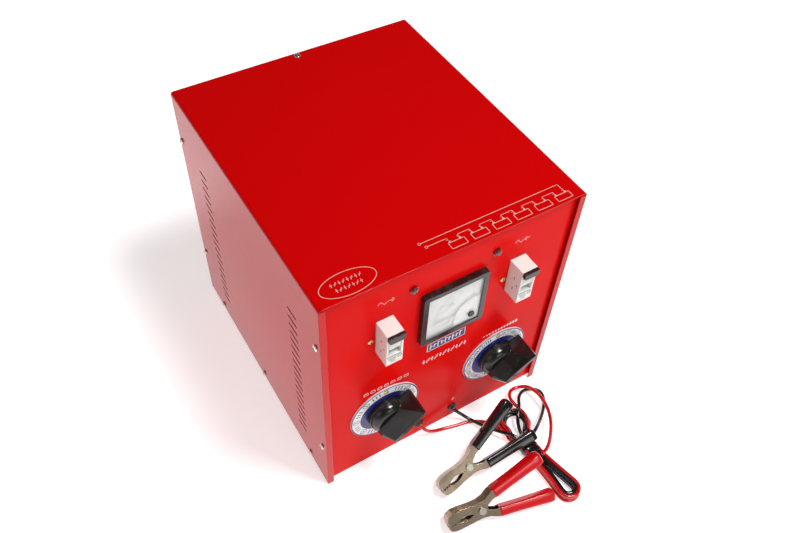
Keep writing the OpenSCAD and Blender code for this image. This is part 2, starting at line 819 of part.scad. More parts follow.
// Wafer switch: round body behind the panel, threaded bush through it, and a ring of solder tags
module tap_switch(x, tags) {
  on_panel(x, switch_z) difference() {
    union() {
      translate([0, 0, -sheet_t - wafer_d]) cylinder(h = wafer_d - 0.1, r = wafer_r, $fn = 64);
      translate([0, 0, -sheet_t - 1]) cylinder(h = sheet_t + 1 + bush_out, r = bush_r, $fn = 48);
      for (i = [0:tags - 1])
        rotate([0, 0, i * 360 / tags]) translate([wafer_r - 1, -1.5, -sheet_t - wafer_d + 10]) cube([7, 3, 1]);
    }
    translate([0, 0, -sheet_t - wafer_d + 5]) cylinder(h = wafer_d + bush_out + 10, r = shaft_r + shaft_play, $fn = 48);
  }
}

module coarse_switch() {
  color("peru") tap_switch(-switch_x, 7);
}

module fine_switch() {
  color("peru") tap_switch(switch_x, 10);
}

module switch_nuts() {
  color("silver")
  for (sx = [-1, 1])
    ring_nut(sx * switch_x, switch_z, dial_t + 0.05, nut_r, bush_r + fit, nut_t);
}

// ---- Lead grommets ----

module lead_grommets() {
  out_r = grommet_d / 2;
  neck_r = out_r - 1.3;
  bore_r = lead_r + fit;
  color("black")
  for (sx = [-1, 1])
    on_panel(sx * lead_x, lead_z) rotate_extrude($fn = 40)
      polygon([[bore_r, -sheet_t - 2], [out_r, -sheet_t - 2], [out_r, -sheet_t - 0.05], [neck_r, -sheet_t - 0.05],
               [neck_r, 0.05], [out_r, 0.05], [out_r, 1.2], [out_r - 0.6, 2], [out_r - 1.4, 2.4], [bore_r, 2.4]]);
}

// ---- Transformer ----

core_z = sheet_t + 1.6;
window_x = (core_w - leg_w) / 4;
window_h = core_h - leg_w;

module at_core() {
  translate([0, core_y, core_z + core_h / 2]) children();
}

module transformer_core() {
  bolt_r = 2.6;
  color("slategray") at_core() difference() {
    cube([core_w, core_d, core_h], center = true);
    for (sx = [-1, 1])
      translate([sx * (leg_w + window_x) / 2, 0, 0]) cube([window_x, core_d + 2, window_h], center = true);
    for (sx = [-1, 1])
      for (sz = [-1, 1])
        translate([sx * (core_w / 2 - 7), core_d, sz * (core_h / 2 - 7)])
          rotate([90, 0, 0]) cylinder(h = 2 * core_d, r = bolt_r, $fn = 24);
  }
}

// A winding around the middle leg, between two wall offsets
module winding(from, to, h) {
  difference() {
    linear_extrude(h, center = true) rounded_square(leg_w + 2 * to, core_d + 2 * to, 4);
    cube([leg_w + 2 * from, core_d + 2 * from, h + 2], center = true);
  }
}

module primary_winding() {
  color("goldenrod") at_core() winding(0.4, window_x * 0.5, window_h - 4);
}

module secondary_winding() {
  color("chocolate") at_core() winding(window_x * 0.5 + 0.3, window_x - 0.5, window_h - 6);
}

// Two folded angles that clamp the core and stand on the base
module core_frames() {
  angle_t = 1.5;
  foot = 12;
  y = core_d / 2 + 0.1;
  color("silver") at_core() difference() {
    for (sy = [-1, 1]) {
      translate([-core_w / 2, sy * (y + angle_t / 2) - angle_t / 2, -core_h / 2 - 1.5]) cube([core_w, angle_t, 18]);
      translate([-core_w / 2, sy * (y + foot / 2) - foot / 2, -core_h / 2 - 1.5]) cube([core_w, foot, angle_t]);
      translate([-core_w / 2, sy * (y + angle_t / 2) - angle_t / 2, core_h / 2 - 16]) cube([core_w, angle_t, 16]);
    }
    for (sx = [-1, 1])
      for (sz = [-1, 1])
        translate([sx * (core_w / 2 - 7), core_d, sz * (core_h / 2 - 7)])
          rotate([90, 0, 0]) cylinder(h = 2 * core_d, r = 2.6, $fn = 24);
  }
}

module core_bolts() {
  l = core_d + 12;
  color("silver") at_core()
  for (sx = [-1, 1])
    for (sz = [-1, 1])
      translate([sx * (core_w / 2 - 7), 0, sz * (core_h / 2 - 7)]) rotate([90, 0, 0]) {
        translate([0, 0, -l / 2]) cylinder(h = l, r = 2.45, $fn = 24);
        translate([0, 0, -l / 2 - 3]) cylinder(h = 3.2, r = 4.6, $fn = 6);
        translate([0, 0, l / 2 - 4]) cylinder(h = 3.6, r = 4.6, $fn = 6);
      }
}

// ---- Rectifier and connections ----

sink_x = -100;
sink_z = 60;
sink_wall = 4;

module heat_sink() {
  fin_t = 1.6;
  pitch = (sink_l - fin_t) / (sink_fins - 1);
  color("silver") translate([sink_x, core_y - sink_l / 2, sink_z]) {
    cube([sink_wall, sink_l, sink_h]);
    for (i = [0:sink_fins - 1])
      translate([-sink_t + sink_wall, i * pitch, 0]) cube([sink_t - sink_wall + 0.1, fin_t, sink_h]);
    for (y = [0, sink_l - 10])
      translate([0, y, -sink_z + sheet_t + 0.1]) cube([1.5, 10, sink_z - sheet_t + 0.1]);
  }
}

module bridge_rectifier() {
  side = 28;
  color("black") translate([sink_x + sink_wall + 0.1, core_y - side / 2, sink_z + (sink_h - side) / 2]) {
    cube([10, side, side]);
    for (y = [5, side - 6])
      for (z = [5, side - 6])
        translate([9.5, y, z]) cube([8, 0.8, 6]);
  }
}

module terminal_block() {
  ways = 4;
  pitch = 12;
  color("ivory") translate([-gland_x - ways * pitch / 2, rear_y - 60, sheet_t + 0.1]) difference() {
    cube([ways * pitch, 20, 16]);
    for (i = [0:ways - 1]) {
      translate([(i + 0.5) * pitch, 20 + through, 6]) rotate([90, 0, 0]) cylinder(h = 22, r = 2.6, $fn = 24);
      for (y = [5, 15])
        translate([(i + 0.5) * pitch, y, 8]) cylinder(h = 10, r = 2, $fn = 24);
    }
  }
}

module mains_gland() {
  neck_r = gland_r - 2.2;
  color("black") translate([-gland_x, rear_y, gland_z]) rotate([-90, 0, 0])
    rotate_extrude($fn = 48)
      polygon([[gland_bore, -sheet_t - 8], [gland_r, -sheet_t - 8], [gland_r, -sheet_t - 0.1],
               [neck_r, -sheet_t - 0.1], [neck_r, 0.1], [gland_r, 0.1], [gland_r, 2.5],
               [neck_r, 4], [neck_r - 1, 14], [gland_bore, 14]]);
}

// ---- Leads ----

module black_lead() {
  color("black") {
    tube(smooth(black_out, steps_per_span), lead_r, lead_sides);
    tube(smooth(black_loop, steps_per_span), lead_r, lead_sides);
  }
}

module red_lead() {
  color("red") {
    tube(smooth(red_out, steps_per_span), lead_r, lead_sides);
    tube(smooth(red_loop, steps_per_span), lead_r, lead_sides);
  }
}

// The tied hank: fanned loops at its upper end, a gathered waist, long loops at its lower end
module lead_hank() {
  fan_r = 11;
  waist_r = 9;
  end_r = 13.8;
  color("darkred") {
    linear_extrude(hank_h) hull() {
      translate([72, -200]) circle(fan_r, $fn = 32);
      translate([86, -204]) circle(fan_r + 1, $fn = 32);
      translate([tie_x, tie_y + tie_l / 2 + waist_r + 0.8]) circle(waist_r, $fn = 32);
    }
    translate([0, 0, 1]) linear_extrude(waist_h) translate([tie_x, tie_y]) rotate([0, 0, tie_turn])
      square([waist_w, 2 * tie_l], center = true);
    linear_extrude(hank_h) hull() {
      translate([tie_x + 2, tie_y - tie_l / 2 - waist_r - 1]) circle(waist_r, $fn = 32);
      translate([81, -299]) circle(end_r, $fn = 32);
    }
  }
}

module hank_tie() {
  play = 0.1;
  inner_w = waist_w + 2 * play;
  inner_h = waist_h + 2 * play;
  color("black") translate([tie_x, tie_y, 1 + waist_h / 2]) rotate([90, 0, tie_turn])
    linear_extrude(tie_l, center = true) difference() {
      rounded_square(inner_w + 2 * tie_wall, inner_h + 2 * tie_wall, 0.6);
      square([inner_w, inner_h], center = true);
    }
}

// ---- Clips ----
// Local frame of a clip: X from the jaws to the handles, Z along the rivet, origin at the rivet's middle.

module pose(p) {
  translate(p[3]) rotate([0, 0, p[0]]) rotate([0, -p[1], 0]) rotate([p[2], 0, 0]) children();
}

// A point of the handle's middle line, u along it and v away from the clip's axis
function on_handle(u, v) = [u * cos(handle_angle) - v * sin(handle_angle),
                            handle_off + u * sin(handle_angle) + v * cos(handle_angle)];
handle_end = handle_near + sleeve_l - handle_end_gap;
handle_back = [on_handle(handle_near - 3, handle_d / 2), on_handle(handle_end, handle_d / 2)];
outer_back = concat([[-jaw_l, 1], [-jaw_l, 6], [-jaw_l + 2.5, 10], [-jaw_l + 8, 12], [-22, 11.6], [-10, 9.8],
                     [0, 9.2], [7, 10.6]], handle_back);
inner_back = concat([[-jaw_l, 1], [-jaw_l, 4.4], [-jaw_l + 2.5, 6.8], [-jaw_l + 8, 8.2], [-22, 8.4], [-10, 8.2],
                     [0, 8.6], [7, 10.4]], handle_back);
jaw_edge = [on_handle(handle_end, -handle_d / 2), on_handle(handle_near - 5, -handle_d / 2), [8, 3], [6, 0.3],
            [-9, 0.3], [-13, 2.2], [-19, 3.6], [-25, 2.6], [-29, 0.3], [-jaw_l, 0.3]];
// Right-hand normal of a line in the plane, at its point i
function inward(p, i) = let(t = tangent(p, i)) [t[1], -t[0]];

// Side view of the half above the clip's axis
module half_shape(back_edge) {
  polygon(concat(back_edge, jaw_edge));
  circle(ear_r, $fn = 48);
}

// Edge view of the pressed channel's back
module back_shape(back_edge) {
  n = len(back_edge) - 1;
  polygon(concat(back_edge, [for (i = [n:-1:0]) back_edge[i] + clip_t * inward(back_edge, i)]));
}

module tooth_notches(w) {
  pitch = 3;
  for (i = [0:2])
    translate([-jaw_l + 2 + i * pitch, 0.2, 0]) linear_extrude(w + 2, center = true)
      polygon([[0, 0], [pitch / 2, 1.5], [pitch, 0]]);
}

module at_handle() {
  translate([0, handle_off, 0]) rotate([0, 0, handle_angle]) children();
}

module clip_half(w, back_edge) {
  difference() {
    union() {
      for (sz = [-1, 1])
        translate([0, 0, sz * (w - clip_t) / 2]) linear_extrude(clip_t, center = true) half_shape(back_edge);
      linear_extrude(w - clip_t, center = true) back_shape(back_edge);
    }
    tooth_notches(w);
    cylinder(h = w + 2, r = rivet_r + 0.06, center = true, $fn = 48);
  }
}

module clip_rivet() {
  head_h = 1.4;
  color("silver") {
    cylinder(h = clip_w + 1, r = rivet_r, center = true, $fn = 48);
    for (sz = [-1, 1])
      scale([1, 1, sz]) translate([0, 0, clip_w / 2 + 0.15]) cylinder(h = head_h, r = 4, $fn = 48);
  }
}

// Torsion spring around the rivet, with one leg along the fixed handle
module clip_spring(dir) {
  turns = 4;
  pitch = spring_wire + 0.25;
  start = -turns * pitch / 2;
  coil = [for (i = [0:turns * 14])
    let(a = i * 360 / 14) [spring_r * sin(a), -dir * spring_r * cos(a), start + pitch * i / 14]];
  leg = [[-0.1 + 12, dir * -spring_r - dir * 1.2, start], [5, dir * -spring_r - dir * 0.4, start]];
  color("silver") tube(concat(leg, coil), spring_wire / 2, 6);
}

module handle_sleeve(w) {
  inner_w = w + 0.3;
  at_handle() translate([handle_near, 0, 0]) rotate([90, 0, 90]) difference() {
    linear_extrude(sleeve_l) rounded_square(handle_d + 0.3 + 2 * sleeve_wall, inner_w + 2 * sleeve_wall, 2.5);
    translate([0, 0, -through]) linear_extrude(sleeve_l + 2 * through) rounded_square(handle_d + 0.3, inner_w, 0.3);
  }
}

// The outer half lies above the clip's axis on the black clip, below it on the red one
module outer_half() {
  clip_half(clip_w, outer_back);
}

module inner_half() {
  mirror([0, 1, 0]) clip_half(clip_inner, inner_back);
}

module black_clip_fixed_half() {
  color("silver") pose(black_pose) inner_half();
}

module black_clip_moving_half() {
  color("silver") pose(black_pose) outer_half();
}

module black_clip_rivet() {
  pose(black_pose) clip_rivet();
}

module black_clip_spring() {
  pose(black_pose) clip_spring(1);
}

module black_clip_fixed_sleeve() {
  color("black") pose(black_pose) mirror([0, 1, 0]) handle_sleeve(clip_inner);
}

module black_clip_moving_sleeve() {
  color("black") pose(black_pose) handle_sleeve(clip_w);
}

module red_clip_fixed_half() {
  color("silver") pose(red_pose) outer_half();
}

module red_clip_moving_half() {
  color("silver") pose(red_pose) inner_half();
}

module red_clip_rivet() {
  pose(red_pose) clip_rivet();
}

module red_clip_spring() {
  pose(red_pose) clip_spring(-1);
}

module red_clip_fixed_sleeve() {
  color("red") pose(red_pose) handle_sleeve(clip_w);
}

module red_clip_moving_sleeve() {
  color("red") pose(red_pose) mirror([0, 1, 0]) handle_sleeve(clip_inner);
}

cover();
front_panel();
rear_panel();
base_plate();
cover_screws();
input_breaker();
input_toggle();
output_breaker();
output_toggle();
breaker_brackets();
breaker_screws();
input_lamp();
output_lamp();
lamp_nuts();
meter_bezel();
meter_glass();
meter_dial();
meter_needle();
meter_zero_screw();
meter_shield();
meter_case();
meter_studs();
coarse_dial();
fine_dial();
coarse_knob();
fine_knob();
coarse_switch();
fine_switch();
coarse_shaft();
fine_shaft();
switch_nuts();
dial_screws();
lead_grommets();
transformer_core();
primary_winding();
secondary_winding();
core_frames();
core_bolts();
heat_sink();
bridge_rectifier();
terminal_block();
mains_gland();
black_lead();
red_lead();
lead_hank();
hank_tie();
black_clip_fixed_half();
black_clip_moving_half();
black_clip_rivet();
black_clip_spring();
black_clip_fixed_sleeve();
black_clip_moving_sleeve();
red_clip_fixed_half();
red_clip_moving_half();
red_clip_rivet();
red_clip_spring();
red_clip_fixed_sleeve();
red_clip_moving_sleeve();
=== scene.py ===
"""Car battery charger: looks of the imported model, with its clip leads, printed marks and studio."""

import json
import math

import bmesh
import bpy
import numpy as np
from mathutils import Matrix, Vector


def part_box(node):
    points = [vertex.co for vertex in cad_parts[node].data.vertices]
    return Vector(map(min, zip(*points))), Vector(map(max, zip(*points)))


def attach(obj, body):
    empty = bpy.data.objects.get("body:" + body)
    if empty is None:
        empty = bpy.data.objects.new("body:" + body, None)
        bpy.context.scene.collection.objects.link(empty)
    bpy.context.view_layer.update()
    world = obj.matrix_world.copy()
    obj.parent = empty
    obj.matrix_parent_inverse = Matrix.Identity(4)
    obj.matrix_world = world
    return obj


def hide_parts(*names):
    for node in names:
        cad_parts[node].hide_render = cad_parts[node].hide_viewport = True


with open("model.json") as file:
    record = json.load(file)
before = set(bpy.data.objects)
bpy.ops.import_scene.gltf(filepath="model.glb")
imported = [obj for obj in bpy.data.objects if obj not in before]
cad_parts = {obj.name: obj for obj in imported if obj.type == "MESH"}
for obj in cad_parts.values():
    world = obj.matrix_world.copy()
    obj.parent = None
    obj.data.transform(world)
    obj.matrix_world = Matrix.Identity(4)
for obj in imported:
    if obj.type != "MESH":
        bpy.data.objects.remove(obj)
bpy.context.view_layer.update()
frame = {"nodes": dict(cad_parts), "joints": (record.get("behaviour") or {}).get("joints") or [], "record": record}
MM = 0.001


# ---------------------------------------------------------------- camera, light and floor

def make_camera(place, azimuth, elevation, roll, lens):
    data = bpy.data.cameras.new("camera")
    data.lens = lens
    data.sensor_width = 36
    data.clip_end = 30
    a, e, r = (math.radians(v) for v in (azimuth, elevation, roll))
    back = Vector((math.sin(a) * math.cos(e), -math.cos(a) * math.cos(e), math.sin(e)))
    right = Vector((0, 0, 1)).cross(back).normalized()
    up = back.cross(right)
    turned_right = math.cos(r) * right + math.sin(r) * up
    turned_up = -math.sin(r) * right + math.cos(r) * up
    cam = bpy.data.objects.new("camera", data)
    axes = Matrix((turned_right, turned_up, back)).transposed()
    cam.matrix_world = Matrix.Translation(place) @ axes.to_4x4()
    bpy.context.scene.collection.objects.link(cam)
    bpy.context.scene.camera = cam


def area_light(name, direction, distance, size, power, target=(0, -0.02, 0.12), tint=(1, 1, 1)):
    data = bpy.data.lights.new(name, "AREA")
    data.shape = "RECTANGLE"
    data.size, data.size_y = size
    data.energy = power
    data.color = tint
    light = bpy.data.objects.new(name, data)
    towards = Vector(direction).normalized()
    light.location = Vector(target) + towards * distance
    light.rotation_euler = towards.to_track_quat("Z", "Y").to_euler()
    bpy.context.scene.collection.objects.link(light)


def make_world(strength):
    world = bpy.data.worlds.new("studio")
    world.use_nodes = True
    tree = world.node_tree
    background = tree.nodes["Background"]
    coords = tree.nodes.new("ShaderNodeTexCoord")
    split = tree.nodes.new("ShaderNodeSeparateXYZ")
    ramp = tree.nodes.new("ShaderNodeValToRGB")
    tree.links.new(coords.outputs["Generated"], split.inputs[0])
    tree.links.new(split.outputs["Z"], ramp.inputs[0])
    tree.links.new(ramp.outputs[0], background.inputs["Color"])
    ramp.color_ramp.elements[0].position = 0.0
    ramp.color_ramp.elements[0].color = (1, 0.99, 0.99, 1)
    ramp.color_ramp.elements[1].position = 0.45
    ramp.color_ramp.elements[1].color = (0.05, 0.05, 0.05, 1)
    background.inputs["Strength"].default_value = strength
    bpy.context.scene.world = world


def make_studio():
    make_world(0.55)
    area_light("key_light", (0.22, -0.30, 0.93), 2.0, (0.5, 0.5), 32)
    area_light("front_fill", (0.1, -1.0, 0.55), 2.6, (1.2, 0.8), 9)
    area_light("left_fill", (-1.0, -0.1, 0.6), 2.6, (1.6, 1.2), 6)
    scene = bpy.context.scene
    scene.view_settings.view_transform = "Standard"
    scene.view_settings.look = "None"
    mesh = bpy.data.meshes.new("floor")
    s = 6.0
    z = -0.0002
    mesh.from_pydata([(-s, -s, z), (s, -s, z), (s, s, z), (-s, s, z)], [], [(0, 1, 2, 3)])
    floor = bpy.data.objects.new("floor", mesh)
    scene.collection.objects.link(floor)
    floor.data.materials.append(floor_paper())


# ---------------------------------------------------------------- node helpers

def add(tree, kind, inputs=None, **settings):
    """A node with its settings; its inputs are values or other nodes' outputs."""
    node = tree.nodes.new(kind)
    for key, value in settings.items():
        setattr(node, key, value)
    for key, value in (inputs or {}).items():
        if isinstance(value, bpy.types.NodeSocket):
            tree.links.new(value, node.inputs[key])
        else:
            node.inputs[key].default_value = value
    return node


def calc(tree, operation, a, b=0.0):
    return add(tree, "ShaderNodeMath", {0: a, 1: b}, operation=operation).outputs[0]


def blend_colours(tree, factor, a, b, way="MIX"):
    node = add(tree, "ShaderNodeMix", {0: factor, 6: a, 7: b}, data_type="RGBA", blend_type=way)
    return node.outputs[2]


def noise(tree, coords, scale, detail=3.0):
    node = add(tree, "ShaderNodeTexNoise", {"Vector": coords, "Scale": scale, "Detail": detail})
    return node.outputs[0]


def stretch(tree, value, low, high, to_low=0.0, to_high=1.0):
    node = add(tree, "ShaderNodeMapRange", {0: value, 1: low, 2: high, 3: to_low, 4: to_high})
    return node.outputs[0]


def new_group(name, inputs, outputs):
    """An empty shader group with named sockets; inputs are (name, kind, default)."""
    group = bpy.data.node_groups.new(name, "ShaderNodeTree")
    for label, kind, default in inputs:
        socket = group.interface.new_socket(label, in_out="INPUT", socket_type="NodeSocket" + kind)
        socket.default_value = default
    for label, kind in outputs:
        group.interface.new_socket(label, in_out="OUTPUT", socket_type="NodeSocket" + kind)
    return group, group.nodes.new("NodeGroupInput").outputs, group.nodes.new("NodeGroupOutput").inputs


def use(tree, group, **inputs):
    node = add(tree, "ShaderNodeGroup", node_tree=group)
    for label, value in inputs.items():
        socket = node.inputs[label.replace("_", " ")]
        if isinstance(value, bpy.types.NodeSocket):
            tree.links.new(value, socket)
        else:
            socket.default_value = value
    return node.outputs


def rgb(r, g, b):
    return (r, g, b, 1.0)


# ---------------------------------------------------------------- shared shader groups

def make_grain_group():
    """Uneven colour, uneven gloss and a fine texture, from noise in the part's own space."""
    group, given, out = new_group(
        "grain",
        [("Colour", "Color", rgb(0.5, 0.5, 0.5)), ("Variation", "Float", 0.15), ("Scale", "Float", 40.0),
         ("Roughness", "Float", 0.4), ("Gloss variation", "Float", 0.1)],
        [("Colour", "Color"), ("Roughness", "Float"), ("Height", "Float")])
    coords = add(group, "ShaderNodeTexCoord").outputs["Object"]
    broad = noise(group, coords, calc(group, "MULTIPLY", given["Scale"], 0.35), 4.0)
    fine = noise(group, coords, calc(group, "MULTIPLY", given["Scale"], 6.0), 3.0)
    shade = stretch(group, broad, 0.3, 0.7)
    amount = calc(group, "MULTIPLY", shade, given["Variation"])
    darker = blend_colours(group, 1.0, given["Colour"], rgb(0.45, 0.45, 0.45), "MULTIPLY")
    group.links.new(blend_colours(group, amount, given["Colour"], darker), out["Colour"])
    gloss = calc(group, "MULTIPLY", calc(group, "SUBTRACT", fine, 0.5), given["Gloss variation"])
    broad_gloss = calc(group, "MULTIPLY", calc(group, "SUBTRACT", broad, 0.5), given["Gloss variation"])
    total = calc(group, "ADD", calc(group, "ADD", given["Roughness"], gloss), broad_gloss)
    group.links.new(calc(group, "MAXIMUM", total, 0.02), out["Roughness"])
    group.links.new(fine, out["Height"])
    return group


def make_edge_group():
    """Normal rounded over sharp edges, and a mask of where those edges are."""
    group, given, out = new_group(
        "rounded edges", [("Radius", "Float", 0.0005)], [("Normal", "Vector"), ("Edge", "Float")])
    bevel = add(group, "ShaderNodeBevel", {"Radius": given["Radius"]}, samples=4)
    flat = add(group, "ShaderNodeNewGeometry").outputs["Normal"]
    same = add(group, "ShaderNodeVectorMath", {0: bevel.outputs[0], 1: flat}, operation="DOT_PRODUCT")
    group.links.new(bevel.outputs[0], out["Normal"])
    group.links.new(stretch(group, same.outputs["Value"], 0.98, 0.80), out["Edge"])
    return group


def make_brushed_group():
    """Fine parallel scratches along one axis, as on rolled or drawn metal."""
    group, given, out = new_group(
        "brushed", [("Along", "Vector", (1.0, 1.0, 0.03)), ("Scale", "Float", 900.0)],
        [("Value", "Float")])
    coords = add(group, "ShaderNodeTexCoord").outputs["Object"]
    squeezed = add(group, "ShaderNodeVectorMath", {0: coords, 1: given["Along"]}, operation="MULTIPLY")
    group.links.new(noise(group, squeezed.outputs[0], given["Scale"], 2.0), out["Value"])
    return group


def make_dust_group():
    """Thin pale dust on faces that look up, broken up by noise."""
    group, given, out = new_group(
        "dust", [("Amount", "Float", 0.1), ("Scale", "Float", 120.0)], [("Mask", "Float")])
    geometry = add(group, "ShaderNodeNewGeometry")
    coords = add(group, "ShaderNodeTexCoord").outputs["Object"]
    up = add(group, "ShaderNodeSeparateXYZ", {0: geometry.outputs["Normal"]}).outputs["Z"]
    facing = stretch(group, up, 0.2, 1.0)
    specks = stretch(group, noise(group, coords, given["Scale"], 5.0), 0.45, 0.75)
    mask = calc(group, "MULTIPLY", calc(group, "MULTIPLY", facing, specks), given["Amount"])
    group.links.new(mask, out["Mask"])
    return group


def make_bands_group():
    """Close parallel bands, for laminations and wound wire."""
    group, given, out = new_group(
        "bands", [("Axis", "Vector", (0.0, 1.0, 0.0)), ("Pitch", "Float", 0.0006)],
        [("Height", "Float"), ("Groove", "Float")])
    coords = add(group, "ShaderNodeTexCoord").outputs["Object"]
    along = add(group, "ShaderNodeVectorMath", {0: coords, 1: given["Axis"]}, operation="DOT_PRODUCT")
    turns = calc(group, "DIVIDE", along.outputs["Value"], given["Pitch"])
    wave = calc(group, "ABSOLUTE", calc(group, "SINE", calc(group, "MULTIPLY", turns, math.pi)))
    group.links.new(wave, out["Height"])
    group.links.new(stretch(group, wave, 0.35, 0.0), out["Groove"])
    return group


GRAIN = make_grain_group()
EDGES = make_edge_group()
BRUSHED = make_brushed_group()
DUST = make_dust_group()
BANDS = make_bands_group()


# ---------------------------------------------------------------- materials

def start_material(name):
    material = bpy.data.materials.new(name)
    material.use_nodes = True
    return material, material.node_tree, material.node_tree.nodes["Principled BSDF"]


def finish_normal(tree, shader, height, depth, edge=0.0005):
    rounded = use(tree, EDGES, Radius=edge)
    bump = add(tree, "ShaderNodeBump", {"Height": height, "Normal": rounded["Normal"],
                                        "Strength": 0.35, "Distance": depth})
    tree.links.new(bump.outputs[0], shader.inputs["Normal"])
    return rounded["Edge"]


def surface(name, colour, rough, metal=0.0, vary=0.2, scale=40.0, gloss=0.08, depth=0.00003,
            edge=0.0005, coat=0.0, level=0.5, dust=0.0, edge_highlight_colour=None, edge_highlight_amount=0.5):
    """A painted, plated or moulded surface with grain, rounded edges, dust, and sharp edges tinted lighter as a
    painted highlight.
    """
    material, tree, shader = start_material(name)
    grain = use(tree, GRAIN, Colour=colour, Variation=vary, Scale=scale, Roughness=rough,
                Gloss_variation=gloss)
    edges = finish_normal(tree, shader, grain["Height"], depth, edge)
    tint = grain["Colour"]
    # Sharp edges tinted towards a lighter colour: a painted highlight along them.
    if edge_highlight_colour:
        tint = blend_colours(tree, calc(tree, "MULTIPLY", edges, edge_highlight_amount), tint, edge_highlight_colour)
    if dust:
        mask = use(tree, DUST, Amount=dust)["Mask"]
        tint = blend_colours(tree, mask, tint, rgb(0.7, 0.66, 0.62))
    tree.links.new(tint, shader.inputs["Base Color"])
    tree.links.new(grain["Roughness"], shader.inputs["Roughness"])
    shader.inputs["Metallic"].default_value = metal
    shader.inputs["Coat Weight"].default_value = coat
    shader.inputs["Coat Roughness"].default_value = 0.06
    shader.inputs["Specular IOR Level"].default_value = level
    return material


def floor_paper():
    material, tree, shader = start_material("floor paper")
    grain = use(tree, GRAIN, Colour=rgb(0.93, 0.925, 0.925), Variation=0.02, Scale=3.0,
                Roughness=0.8, Gloss_variation=0.05)
    tree.links.new(grain["Colour"], shader.inputs["Base Color"])
    tree.links.new(grain["Roughness"], shader.inputs["Roughness"])
    shader.inputs["Specular IOR Level"].default_value = 0.1
    shader.inputs["Emission Color"].default_value = rgb(1.0, 0.985, 0.985)
    shader.inputs["Emission Strength"].default_value = 0.62
    return material


def case_paint():
    return surface("case paint", rgb(0.60, 0.0012, 0.0016), 0.15, vary=0.12, scale=7.0, gloss=0.05,
                   depth=0.000015, edge=0.0012, coat=0.0, level=0.17)


def panel_paint():
    return surface("panel paint", rgb(0.72, 0.004, 0.003), 0.20, vary=0.10, scale=9.0, gloss=0.05,
                   depth=0.000015, edge=0.0008, coat=0.0, level=0.03)


def brushed_metal(name, colour, rough, along, amount=0.25):
    material, tree, shader = start_material(name)
    lines = use(tree, BRUSHED, Along=along)["Value"]
    grain = use(tree, GRAIN, Colour=colour, Variation=0.3, Scale=60.0, Roughness=rough,
                Gloss_variation=0.15)
    finish_normal(tree, shader, lines, 0.00003)
    streak = calc(tree, "MULTIPLY", stretch(tree, lines, 0.35, 0.65), amount)
    tint = blend_colours(tree, streak, grain["Colour"], rgb(0.12, 0.12, 0.12))
    tree.links.new(tint, shader.inputs["Base Color"])
    tree.links.new(calc(tree, "ADD", grain["Roughness"], calc(tree, "MULTIPLY", streak, 0.3)),
                   shader.inputs["Roughness"])
    shader.inputs["Metallic"].default_value = 1.0
    return material


def zinc_sheet():
    return brushed_metal("zinc sheet", rgb(0.52, 0.53, 0.55), 0.42, (1.0, 0.05, 1.0))


def nickel_plate():
    return surface("nickel plate", rgb(0.78, 0.76, 0.70), 0.20, metal=1.0, vary=0.4, scale=200.0,
                   gloss=0.12, edge=0.0003)


def brass_plate():
    return surface("brass plate", rgb(0.80, 0.58, 0.26), 0.24, metal=1.0, vary=0.35, scale=260.0,
                   gloss=0.14, edge=0.0002)


def breaker_plastic():
    # The lighter edge colour is a painted highlight along the breaker's edges.
    return surface("breaker plastic", rgb(0.84, 0.84, 0.80), 0.34, vary=0.16, scale=70.0, gloss=0.08,
                   edge=0.0007, edge_highlight_colour=rgb(0.95, 0.93, 0.88))


def toggle_plastic():
    return surface("toggle plastic", rgb(0.012, 0.012, 0.013), 0.22, vary=0.3, scale=90.0, gloss=0.1,
                   edge=0.0012, dust=0.03)


def lamp_lens():
    material = surface("lamp lens", rgb(0.16, 0.003, 0.006), 0.10, vary=0.5, scale=300.0, gloss=0.05,
                       edge=0.0004, coat=1.0)
    shader = material.node_tree.nodes["Principled BSDF"]
    shader.inputs["Transmission Weight"].default_value = 0.25
    return material


def meter_plastic():
    return surface("meter plastic", rgb(0.008, 0.008, 0.009), 0.18, vary=0.3, scale=60.0, gloss=0.1,
                   edge=0.0008, dust=0.03)


def meter_glass():
    material, tree, shader = start_material("meter glass")
    grain = use(tree, GRAIN, Colour=rgb(0.93, 0.95, 0.95), Variation=0.05, Scale=20.0, Roughness=0.05,
                Gloss_variation=0.04)
    tree.links.new(grain["Colour"], shader.inputs["Base Color"])
    tree.links.new(grain["Roughness"], shader.inputs["Roughness"])
    slant = add(tree, "ShaderNodeFresnel", {"IOR": 1.45}).outputs[0]
    tree.links.new(stretch(tree, slant, 0.0, 1.0, 0.01, 0.5), shader.inputs["Alpha"])
    return material


def dial_card():
    return surface("dial card", rgb(0.90, 0.89, 0.87), 0.55, vary=0.06, scale=60.0, gloss=0.06,
                   edge=0.0002)


def needle_paint():
    return surface("needle paint", rgb(0.02, 0.02, 0.022), 0.5, vary=0.2, scale=300.0, edge=0.0001)


def dial_enamel():
    return surface("dial enamel", rgb(0.82, 0.82, 0.84), 0.30, vary=0.08, scale=50.0, gloss=0.08,
                   edge=0.0004)


def knob_plastic():
    return surface("knob plastic", rgb(0.010, 0.009, 0.009), 0.20, vary=0.4, scale=45.0, gloss=0.12,
                   edge=0.0011, level=0.5, dust=0.02)


def machined_steel():
    return brushed_metal("machined steel", rgb(0.6, 0.6, 0.6), 0.3, (0.05, 1.0, 1.0))


def switch_laminate():
    return surface("switch laminate", rgb(0.30, 0.16, 0.07), 0.55, vary=0.5, scale=120.0, gloss=0.1)


def rubber():
    return surface("black rubber", rgb(0.018, 0.018, 0.018), 0.55, vary=0.3, scale=150.0, gloss=0.12,
                   depth=0.00006, edge=0.0004)


